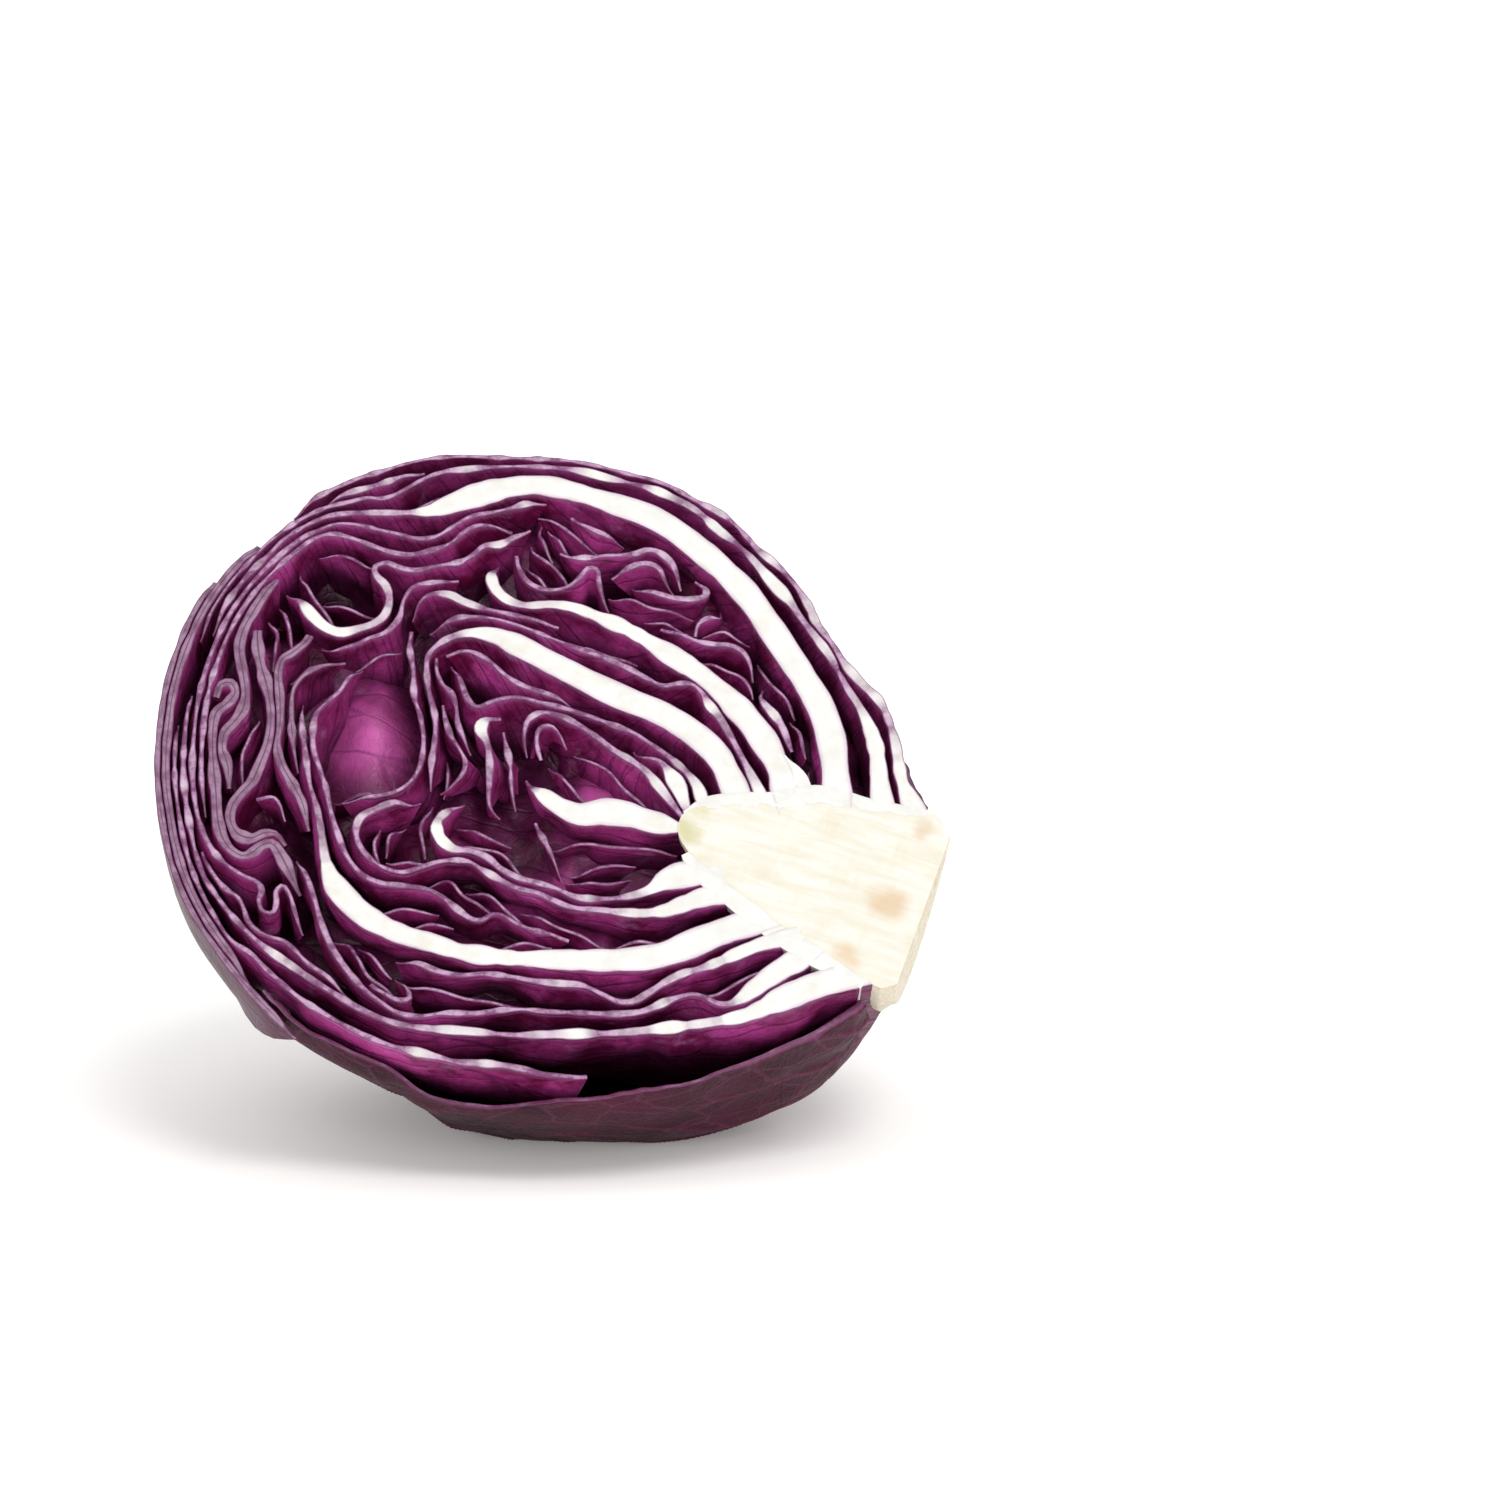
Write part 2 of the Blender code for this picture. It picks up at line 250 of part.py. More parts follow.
    ("low_6", 50, [(-38.8, -52.6, 1), (-36.4, -55.4, 1), (-33.6, -57.6, 1), (-31, -57.4, 1),
     (-31.6, -54, 1), (-33.8, -50.8, .9)]),
]

# The cut face of the core, point by point round its edge, (a, b) in mm.
CORE = [(27.4, -15), (29.6, -11.4), (34, -10.2), (40, -10), (47, -10), (54, -10), (60, -10.2), (66, -11),
        (71, -12.4), (76, -13.4), (80.5, -14), (83.4, -13.8), (85.2, -16.6), (84.2, -20.5), (82.6, -25),
        (81.4, -29.5), (80, -35), (78.2, -40), (76.2, -44.4), (74.6, -49), (73, -53), (71.2, -56.6),
        (67.4, -57.6), (63.8, -55.4), (60.2, -51.8), (56.4, -48.6), (52.4, -45.4), (47.8, -41.6),
        (44, -38), (40, -33.6), (36.4, -30.2), (32.4, -26.4), (29.6, -22.6), (27.8, -19)]

# The stem's axis in the cut plane, and the head's own cross direction.
STEM_ANGLE = math.radians(-22.0)
STEM = math.cos(STEM_ANGLE) * A + math.sin(STEM_ANGLE) * B
ACROSS = -math.sin(STEM_ANGLE) * A + math.cos(STEM_ANGLE) * B

ROOTED = ("top_1", "top_2", "top_3", "top_4", "top_5", "top_6", "heart_1", "heart_2", "heart_4", "heart_5",
          "heart_6", "heart_7", "low_1", "low_2", "low_3", "low_4")

# The lower wrapper's outer face: direction in degrees, distance in mm, where it meets the cut plane.
LOWER_FACE = [(-150, 82.8), (-138, 82.3), (-130, 82.9), (-120, 82.0), (-110, 81.2), (-100, 80.8),
              (-90, 80.6), (-75, 80.8), (-60, 81.8), (-54, 83.0), (-48, 85.2), (-43, 87.0), (-35, 86.4),
              (0, 83.0), (209, 82.8)]
WRAP_THICK = 1.1
# How far the lower wrapper stands out over the cut leaves at the back.
WRAP_OVER = 2.1
# The lower wrapper's far end tucks in under the outermost left leaf.
TUCK_FROM, TUCK_FULL, TUCK_DEEP = -109.0, -118.0, 3.3
TUCK_EDGE = math.radians(-139.0)
# A wrapper's root is ROOT_THICK, and thins out over ROOT_TAPER down to ROOT_THIN from the stem's axis.
ROOT_THICK = 2.2
ROOT_THIN = math.radians(42)
ROOT_TAPER = math.radians(20)
# Wrapper leaves: rows run out from the stem, columns from the bottom edge of the cut round to its top.
ROOT_FROM = math.radians(20.3)
LOWER_ROWS = 11
LOWER_COLS = 12
LOWER_EDGE = [9, 8, 5, 4, 3, 3, 5, 6, 3, 2, 1]
LOWER_FAR = 112
UPPER_ROWS = [18, 26, 36, 48, 60, 72, 84, 94, 103, 112, 120, 127, 132, 135]
UPPER_EDGE = [100, 98, 96, 94, 92, 90, 85, 79, 76, 78, 84, 93, 102, 110]
UPPER_FAR = [164, 164, 163, 162, 160, 158, 156, 154, 152, 149, 145, 139, 132, 124]
UPPER_COLS = 8
# The upper wrapper lies UPPER_CLEAR over what is under it, and over the lower wrapper up to LAP_UNTIL.
UPPER_CLEAR = 1.4
LAP_UNTIL = math.radians(128)
LAP_RUN = math.radians(12)

# The core's solid: CORE's first points are its upper side, those from CORE_LOWER its lower side.
CORE_UPPER, CORE_LOWER = 17, 22
CORE_STATIONS = 11
CORE_ARC = 9
# Along the stem: how far the tip is blunted, the cut stem's edge, and the end of its bevelled butt.
CORE_BLUNT = 0.4
CORE_EDGE = 84.4
CORE_CORNER = 86.2
CORE_BUTT = 87.2
# The butt's two sides across the stem, and how much shallower it is than the edge.
BUTT_SIDES = (14.8, -26.0)
BUTT_SHRINK = 0.96
# Towards its butt the core gets deeper than half its width.
DEEPER, DEEPER_FROM, DEEPER_RUN = 0.2, 40.0, 45.0


def lookup(table, degrees):
    """Read a table of (degrees, value) round the circle."""
    x = [row[0] for row in table]
    y = [row[1] for row in table]
    low = x[0]
    where = (np.asarray(degrees) - low) % 360.0 + low
    return np.interp(where, x + [low + 360.0], y + [y[0]])


def ease(x):
    x = np.clip(x, 0.0, 1.0)
    return x * x * (3.0 - 2.0 * x)


def direction(theta, t):
    e = np.cos(theta)[..., None] * A + np.sin(theta)[..., None] * B
    return np.cos(t)[..., None] * e - np.sin(t)[..., None] * N


def swell(theta, t):
    """Where the head behind the cut is fuller or flatter than its plain rounding."""
    u = direction(theta, t)
    more = 0.0
    for side, deep, amount, width in SWELLS:
        middle = direction(np.array(math.radians(side)), np.array(math.radians(deep)))
        far = np.degrees(np.arccos(np.clip(u @ middle, -1.0, 1.0)))
        more = more + amount * np.exp(-(far / width) ** 2)
    return 1.0 + more * ease(t / SWELL_FULL)


def head_radius(theta, t):
    """Outer radius of the cut leaves in any direction."""
    r0 = lookup(OUTLINE, np.degrees(theta))
    return (r0 + (BACK_R - r0) * ease(t / BACK_FROM)) * swell(theta, t)


def lower_radius(theta, t):
    """Outer radius of the lower wrapper leaf."""
    r0 = lookup(LOWER_FACE, np.degrees(theta))
    own = (r0 + (BACK_R + WRAP_OVER - r0) * ease(t / BACK_FROM)) * swell(theta, t)
    tuck = ease((TUCK_FROM - np.degrees(theta)) / (TUCK_FROM - TUCK_FULL))
    return own + (head_radius(theta, t) - TUCK_DEEP - own) * tuck


def press(points, theta, t, rho):
    """Flatten the underside, the outermost leaf fully and the ones within it less and less."""
    deep = lower_radius(theta, t) - rho
    keep = deep * (1.0 - FLAT_DEEP / PRESS_REACH)
    z = np.where(deep < PRESS_REACH, np.maximum(points[..., 2], keep), points[..., 2])
    out = points.copy()
    out[..., 2] = z
    return out


def place(ab, t):
    """Carry points of the cut plane back round the middle of the head by the angle t."""
    a, b = ab[..., 0], ab[..., 1]
    theta = np.arctan2(b, a)
    t = np.full_like(a, t)
    grow = head_radius(theta, t) / lookup(OUTLINE, np.degrees(theta))
    rho = np.hypot(a, b) * grow
    points = CENTRE + rho[..., None] * direction(theta, t)
    return press(points, theta, t, rho)


def place_polar(theta, t, rho):
    points = CENTRE + rho[..., None] * direction(theta, t)
    return press(points, theta, t, rho)


def expand(rows):
    """Write a leaf's rows out as points, with the ring runs that follow the outline."""
    out = []
    for row in rows:
        if row[0] != "ring":
            out.append(row)
            continue
        start, end, deep, thick = row[1:]
        for d in np.linspace(start, end, max(2, int(abs(end - start) / RING_STEP) + 1)):
            r = float(lookup(OUTLINE, d)) - deep
            out.append((r * math.cos(math.radians(d)), r * math.sin(math.radians(d)), thick))
    return np.array(out, dtype=float)


def smooth(points):
    """A smooth line through the points, as samples STEP apart."""
    p = np.vstack((2 * points[0] - points[1], points, 2 * points[-1] - points[-2]))
    knots = np.concatenate(([0.0], np.cumsum(np.linalg.norm(np.diff(p[:, :2], axis=0), axis=1) ** 0.5)))
    fine = []
    for i in range(1, len(p) - 2):
        k0, k1, k2, k3 = knots[i - 1:i + 3]
        for s in np.linspace(k1, k2, SPLINE_CUTS)[:-1]:
            a1 = p[i - 1] * (k1 - s) / (k1 - k0) + p[i] * (s - k0) / (k1 - k0)
            a2 = p[i] * (k2 - s) / (k2 - k1) + p[i + 1] * (s - k1) / (k2 - k1)
            a3 = p[i + 1] * (k3 - s) / (k3 - k2) + p[i + 2] * (s - k2) / (k3 - k2)
            b1 = a1 * (k2 - s) / (k2 - k0) + a2 * (s - k0) / (k2 - k0)
            b2 = a2 * (k3 - s) / (k3 - k1) + a3 * (s - k1) / (k3 - k1)
            fine.append(b1 * (k2 - s) / (k2 - k1) + b2 * (s - k1) / (k2 - k1))
    fine.append(p[-2])
    fine = np.array(fine)
    run = np.concatenate(([0.0], np.cumsum(np.linalg.norm(np.diff(fine[:, :2], axis=0), axis=1))))
    where = np.linspace(0.0, run[-1], max(6, int(run[-1] / STEP) + 1))
    return np.column_stack([np.interp(where, run, fine[:, i]) for i in range(3)])


def limit_thickness(lines):
    """Thin the leaves wherever two of them, or two runs of one, would come too close."""
    names = list(lines)
    allp = np.vstack([lines[n] for n in names])
    owner = np.concatenate([np.full(len(lines[n]), i) for i, n in enumerate(names)])
    index = np.concatenate([np.arange(len(lines[n])) for n in names])
    w = allp[:, 2].copy()
    gap = np.linalg.norm(allp[:, None, :2] - allp[None, :, :2], axis=2)
    same = (owner[:, None] == owner[None, :]) & (np.abs(index[:, None] - index[None, :]) < OWN_RUN)
    gap[same] = 1e9
    for _ in range(4):
        need = (w[:, None] + w[None, :]) / 2 + LEAF_GAP
        scale = np.where(gap < need, (gap - LEAF_GAP) / ((w[:, None] + w[None, :]) / 2), 1.0).min(axis=1)
        w = np.maximum(LEAF_MIN, w * np.clip(scale, 0.2, 1.0))
    at = 0
    for n in names:
        k = len(lines[n])
        one = w[at:at + k]
        low = np.minimum.reduce([np.roll(np.pad(one, 2, mode="edge"), s)[2:-2] for s in (-1, 0, 1)])
        lines[n][:, 2] = (low + np.minimum(one, np.roll(low, 1)) + low) / 3 if k > 4 else low
        at += k


def core_distance(p):
    """Distance from the core's cut face, less than nothing inside it."""
    poly = np.array(CORE, dtype=float)
    nxt = np.roll(poly, -1, axis=0)
    d = nxt - poly
    s = np.clip(((p - poly) * d).sum(axis=1) / (d * d).sum(axis=1), 0.0, 1.0)
    near = np.linalg.norm(poly + d * s[:, None] - p, axis=1).min()
    inside = False
    for (x1, y1), (x2, y2) in zip(poly, nxt):
        if (y1 > p[1]) != (y2 > p[1]) and p[0] < (x2 - x1) * (p[1] - y1) / (y2 - y1) + x1:
            inside = not inside
    return -near if inside else near


def trim(side):
    """Cut a side line's root end back so that it stops just clear of the core."""
    far = np.array([core_distance(q) for q in side[:ROOT_SAMPLES]])
    close = np.nonzero(far < CORE_GAP)[0]
    if len(close) == 0:
        return side
    k = int(close[-1]) + 1
    f = (CORE_GAP - far[k - 1]) / (far[k] - far[k - 1])
    start = side[k - 1] + (side[k] - side[k - 1]) * f
    m = k + 1
    path = np.vstack((start, side[k:m + 1]))
    run = np.concatenate(([0.0], np.cumsum(np.linalg.norm(np.diff(path, axis=0), axis=1))))
    where = np.linspace(0.0, run[-1], m + 1)
    out = side.copy()
    out[:m + 1] = np.column_stack([np.interp(where, run, path[:, i]) for i in range(2)])
    return out


def thin(mid, half, keep):
    """Pick the samples that hold the line within CHORD."""
    left, right = mid + half, mid - half

    def deviation(line, i, j):
        d = line[j] - line[i]
        q = line[i + 1:j] - line[i]
        s = np.clip((q @ d) / max(d @ d, 1e-9), 0.0, 1.0)
        return np.linalg.norm(q - s[:, None] * d, axis=1)

    picked = {0, len(mid) - 1}
    stack = [(0, len(mid) - 1)]
    while stack:
        i, j = stack.pop()
        if j - i < 2:
            continue
        worst = np.maximum(deviation(left, i, j), deviation(right, i, j))
        k = int(worst.argmax())
        if worst[k] > keep or (j - i) * STEP > LONGEST:
            k = k + i + 1 if worst[k] > keep else (i + j) // 2
            picked.add(k)
            stack += [(i, k), (k, j)]
    return sorted(picked)


def leaf_section(name, line):
    """Mid line and half thickness vectors of a cut leaf, root end trimmed to the core."""
    mid = line[:, :2]
    run = np.gradient(mid, axis=0)
    run /= np.linalg.norm(run, axis=1)[:, None]
    side = np.column_stack((-run[:, 1], run[:, 0]))
    left = mid + side * line[:, 2:] / 2
    right = mid - side * line[:, 2:] / 2
    if name in ROOTED:
        left, right = trim(left), trim(right)
    return (left + right) / 2, (left - right) / 2


def closed_mesh(name, verts, faces, material):
    mesh = bpy.data.meshes.new(name)
    bm = bmesh.new()
    made = [bm.verts.new(tuple(float(c) * MM for c in v)) for v in verts]
    for f in faces:
        if len(set(f)) == len(f):
            bm.faces.new([made[i] for i in f])
    bmesh.ops.recalc_face_normals(bm, faces=bm.faces[:])
    bm.to_mesh(mesh)
    bm.free()
    mesh.materials.append(material)
    obj = bpy.data.objects.new(name, mesh)
    bpy.context.scene.collection.objects.link(obj)
    return obj


def sheet(rows_out, rows_in, name, material):
    """A closed leaf from two grids of points alike, its faces split along the same diagonals."""
    n, m = rows_out.shape[:2]
    verts = np.vstack((rows_out.reshape(-1, 3), rows_in.reshape(-1, 3)))
    base = n * m

    def at(i, j, inner):
        return i * m + j + (base if inner else 0)

    faces = []
    for i in range(n - 1):
        for j in range(m - 1):
            for inner in (False, True):
                p, q = at(i, j, inner), at(i + 1, j, inner)
                r, s = at(i + 1, j + 1, inner), at(i, j + 1, inner)
                faces += [(p, q, r), (p, r, s)]
    for i in range(n - 1):
        for j in (0, m - 1):
            p, q, r, s = at(i, j, False), at(i + 1, j, False), at(i + 1, j, True), at(i, j, True)
            faces += [(p, q, r), (p, r, s)]
    for j in range(m - 1):
        for i in (0, n - 1):
            p, q, r, s = at(i, j, False), at(i, j + 1, False), at(i, j + 1, True), at(i, j, True)
            faces += [(p, q, r), (p, r, s)]
    return closed_mesh(name, verts, faces, material)


def material(name, colour, rough):
    mat = bpy.data.materials.new(name)
    mat.use_nodes = True
    shader = mat.node_tree.nodes["Principled BSDF"]
    shader.inputs["Base Color"].default_value = (*colour, 1.0)
    shader.inputs["Roughness"].default_value = rough
    mat.diffuse_color = (*colour, 1.0)
    return mat


def build_leaves():
    lines = {}
    for name, back, rows in LEAVES:
        points = expand(rows)
        if name in ROOTED:
            step = points[0] - points[1]
            step[2] = 0.0
            first = points[0] + step * ROOT_RUN / np.linalg.norm(step[:2])
            points = np.vstack((first, points))
        lines[name] = smooth(points)
    limit_thickness(lines)
    for k, (name, back, rows) in enumerate(LEAVES):
        mid, half = leaf_section(name, lines[name])
        picked = thin(mid, half, CHORD)
        mid, half = mid[picked], half[picked]
        levels = [t for t in LEVELS if math.degrees(t) <= back + BACK_SLACK]
        outer, inner = [], []
        radius = np.linalg.norm(mid, axis=1)
        width = 2 * np.linalg.norm(half, axis=1)
        for t in levels:
            deep = radius * math.sin(t)
            thinnest = np.minimum(width, LAMINA)
            w = thinnest + (width - thinnest) * np.exp(-(deep / RIB_KEEP) ** 2)
            h = half * (w / width)[:, None]
            outer.append(place(mid + h, t))
            inner.append(place(mid - h, t))
        mat = material("mat_" + name, LEAF_COLOUR + LEAF_LIGHTER * (k % 4) + LEAF_GREYER * (k % 3), 0.45)
        sheet(np.array(outer).transpose(1, 0, 2), np.array(inner).transpose(1, 0, 2), "leaf_" + name, mat)


def wrapper_angles(psi, phi):
    """Turn the wrapper's own angles, from the stem and round it, into theta and t."""
    u = (np.cos(psi)[..., None] * STEM
         + np.sin(psi)[..., None] * (-np.cos(phi)[..., None] * ACROSS - np.sin(phi)[..., None] * N))
    t = np.arcsin(np.clip(-(u @ N), -1.0, 1.0))
    theta = np.arctan2(u @ B, u @ A)
    return theta, t


def wrap_thickness(psi):
    return WRAP_THICK + (ROOT_THICK - WRAP_THICK) * ease((ROOT_THIN - psi) / ROOT_TAPER)


def build_lower_wrapper():
    """The lower wrapper carries the flat spot."""
    grid_psi, grid_phi = [], []
    for i, near in zip(range(LOWER_ROWS), LOWER_EDGE):
        phi = np.radians(np.linspace(near, LOWER_FAR, LOWER_COLS))
        far = math.pi / 2 + np.arctan(np.cos(phi) / abs(math.tan(STEM_ANGLE - TUCK_EDGE)))
        grid_phi.append(phi)
        grid_psi.append(ROOT_FROM + (far - ROOT_FROM) * i / (LOWER_ROWS - 1))
    psi, phi = np.array(grid_psi), np.array(grid_phi)
    theta, t = wrapper_angles(psi, phi)
    outer = lower_radius(theta, t)
    sheet(place_polar(theta, t, outer), place_polar(theta, t, outer - wrap_thickness(psi)), "wrapper_lower",
          material("mat_wrapper_lower", LOWER_COLOUR, 0.4))


def build_upper_wrapper():
    """The upper wrapper laps over the lower one and over the outermost cut leaves."""
    rows = np.radians(np.array(UPPER_ROWS, dtype=float))
    grid_psi, grid_phi = [], []
    for one, near, far in zip(rows, UPPER_EDGE, UPPER_FAR):
        phi = np.radians(np.linspace(near, far, UPPER_COLS))
        grid_phi.append(phi)
        grid_psi.append(np.full_like(phi, one))
    psi, phi = np.array(grid_psi), np.array(grid_phi)
    theta, t = wrapper_angles(psi, phi)
    over = ease((LAP_UNTIL - phi) / LAP_RUN)
    inner = np.maximum(head_radius(theta, t), lower_radius(theta, t) * over) + UPPER_CLEAR
    sheet(place_polar(theta, t, inner + wrap_thickness(psi)), place_polar(theta, t, inner), "wrapper_upper",
          material("mat_wrapper_upper", UPPER_COLOUR, 0.4))


def build_core():
    """The core's half: its traced cut face, rounded off behind by half ellipses across the stem."""
    cos, sin = math.cos(STEM_ANGLE), math.sin(STEM_ANGLE)
    pts = [(a * cos + b * sin, -a * sin + b * cos) for a, b in CORE]
    upper = sorted(p for p in pts[:CORE_UPPER] if p[0] < CORE_CORNER)
    lower = sorted(pts[CORE_LOWER:] + [pts[0]])
    first = max(upper[0][0], lower[0][0]) + CORE_BLUNT
    stations = np.concatenate((np.linspace(first, CORE_EDGE, CORE_STATIONS), [CORE_BUTT]))
    ring = np.radians(np.linspace(0, 180, CORE_ARC))
    verts, rings = [], []
    for s in stations:
        hi = float(np.interp(s, [p[0] for p in upper], [p[1] for p in upper]))
        lo = float(np.interp(s, [p[0] for p in lower], [p[1] for p in lower]))
        shrink = 1.0
        if s > CORE_EDGE:
            hi, lo = BUTT_SIDES
            shrink = BUTT_SHRINK
        half = (hi - lo) / 2
        deep = half * shrink * (1.0 + DEEPER * ease((s - DEEPER_FROM) / DEEPER_RUN))
        row = []
        for q in ring:
            v = (hi + lo) / 2 - half * math.cos(q)
            row.append(len(verts))
            verts.append(CENTRE + s * STEM + v * ACROSS - deep * math.sin(q) * N)
        rings.append(row)
    faces = []
    for r0, r1 in zip(rings, rings[1:]):
        for j in range(len(ring) - 1):
            faces += [(r0[j], r1[j], r1[j + 1]), (r0[j], r1[j + 1], r0[j + 1])]
        faces += [(r0[0], r1[0], r1[-1]), (r0[0], r1[-1], r0[-1])]
    for row in (rings[0], rings[-1]):
        faces += [(row[0], row[j], row[j + 1]) for j in range(1, len(ring) - 1)]
    closed_mesh("core", verts, faces, material("mat_core", CORE_COLOUR, 0.5))


build_core()
build_lower_wrapper()
build_upper_wrapper()
build_leaves()
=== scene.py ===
import math

import bpy
import numpy as np
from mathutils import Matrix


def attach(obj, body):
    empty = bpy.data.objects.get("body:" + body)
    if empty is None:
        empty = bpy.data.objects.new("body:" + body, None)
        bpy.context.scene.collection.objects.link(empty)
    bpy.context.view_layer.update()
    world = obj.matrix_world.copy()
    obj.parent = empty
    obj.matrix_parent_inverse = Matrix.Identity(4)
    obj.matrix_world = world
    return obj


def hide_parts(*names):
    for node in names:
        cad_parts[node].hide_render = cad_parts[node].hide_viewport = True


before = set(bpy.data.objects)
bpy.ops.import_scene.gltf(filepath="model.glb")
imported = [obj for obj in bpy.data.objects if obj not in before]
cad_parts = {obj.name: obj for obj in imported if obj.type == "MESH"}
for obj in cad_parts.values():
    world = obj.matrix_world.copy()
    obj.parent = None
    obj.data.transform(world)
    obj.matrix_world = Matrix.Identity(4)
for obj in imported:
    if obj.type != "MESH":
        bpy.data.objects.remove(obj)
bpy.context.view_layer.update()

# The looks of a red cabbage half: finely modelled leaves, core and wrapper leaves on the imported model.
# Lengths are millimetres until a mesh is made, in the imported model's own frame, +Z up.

MM = 0.001

# The cut plane: tipped back by TIP, turned a little by TURN, through CENTRE.
TIP = math.radians(45.0)
TURN = math.radians(6.0)
CENTRE = np.array((-2.065, -15.387, 79.5))
N = np.array((math.sin(TURN) * math.cos(TIP), -math.cos(TURN) * math.cos(TIP), math.sin(TIP)))
A = np.array((math.cos(TURN), math.sin(TURN), 0.0))
B = np.cross(N, A)

# The camera looks down by CAMERA_RISE on the head's middle from CAMERA_FAR, moved right and up, in mm.
CAMERA_RISE = math.radians(10.0)
CAMERA_FAR = 1000.0
CAMERA_RIGHT, CAMERA_UP = 44.09, 3.87
CAMERA_LENS, CAMERA_SENSOR = 111.6, 36.0
CAMERA_CLIP = (0.05, 200.0)

# Behind the cut the head rounds off to the radius BACK_R, which it has from the angle BACK_FROM on.
BACK_R = 82.2
BACK_FROM = math.radians(70.0)
# Fuller or flatter places behind the cut: direction, angle behind the cut, share of the radius and width, in
# degrees. The last one is the side that the half rests on.
SWELLS = [(-138, 24, -0.058, 18), (-99, 31, -0.052, 21), (-51, 26, 0.055, 19), (-90, 72, 0.058, 27)]
SWELL_FULL = math.radians(25.0)
# How deep the underside is pressed flat, and how far in the leaves still give way, in mm.
FLAT_DEEP = 4.5
PRESS_REACH = 26.0

# Sampling: the step along a leaf in mm, a spline's cuts between two points, the step of a ring run in
# degrees, and the rows behind the cut, which lie closer together near it.
STEP = 1.0
LEAST_SAMPLES = 6
SPLINE_CUTS = 9
RING_STEP = 5.0
ROWS = 20
ROW_POWER = 1.35
# The least gap between leaves and how thin they get for it, in mm. Samples of one leaf that are fewer than
# OWN_RUN apart don't count as close.
LEAF_GAP = 0.28
LEAF_MIN = 0.7
OWN_RUN = 7
THIN_ROUNDS = 4
THIN_MOST = 0.2
# Behind the cut a rib thins out to LAMINA over RIB_KEEP, in mm.
LAMINA = 0.9
RIB_KEEP = 16.0
# A face turns sharp at an edge of more than this.
SHARP = math.radians(48)

# The outline of the cut edges: direction in degrees, distance in mm.
OUTLINE = [(-48, 84.0), (-42, 83.5), (-30, 84.0), (-12, 82.5), (-6, 80.0), (0, 78.2), (10, 77.8),
           (15, 76.6), (21, 73.9), (28, 73.4), (36, 74.4), (51, 78.9), (61, 82.8), (69, 83.7), (76, 84.2),
           (87, 85.5), (93, 86.2), (100, 87.6), (106, 88.8), (115, 89.3), (122, 89.4), (130, 89.2),
           (136, 88.8), (142, 88.2), (150, 87.0), (157, 85.7), (162, 85.0), (166, 84.4), (171, 83.7),
           (177, 83.4), (183, 83.2), (188, 83.0), (194, 83.4), (204, 83.8), (212, 83.8), (218, 84.2),
           (223, 84.8), (227, 85.3), (235, 84.2), (245, 82.4), (257, 80.6), (270, 80.0), (281, 80.0),
           (292, 80.2), (302, 81.2), (312, 84.0)]

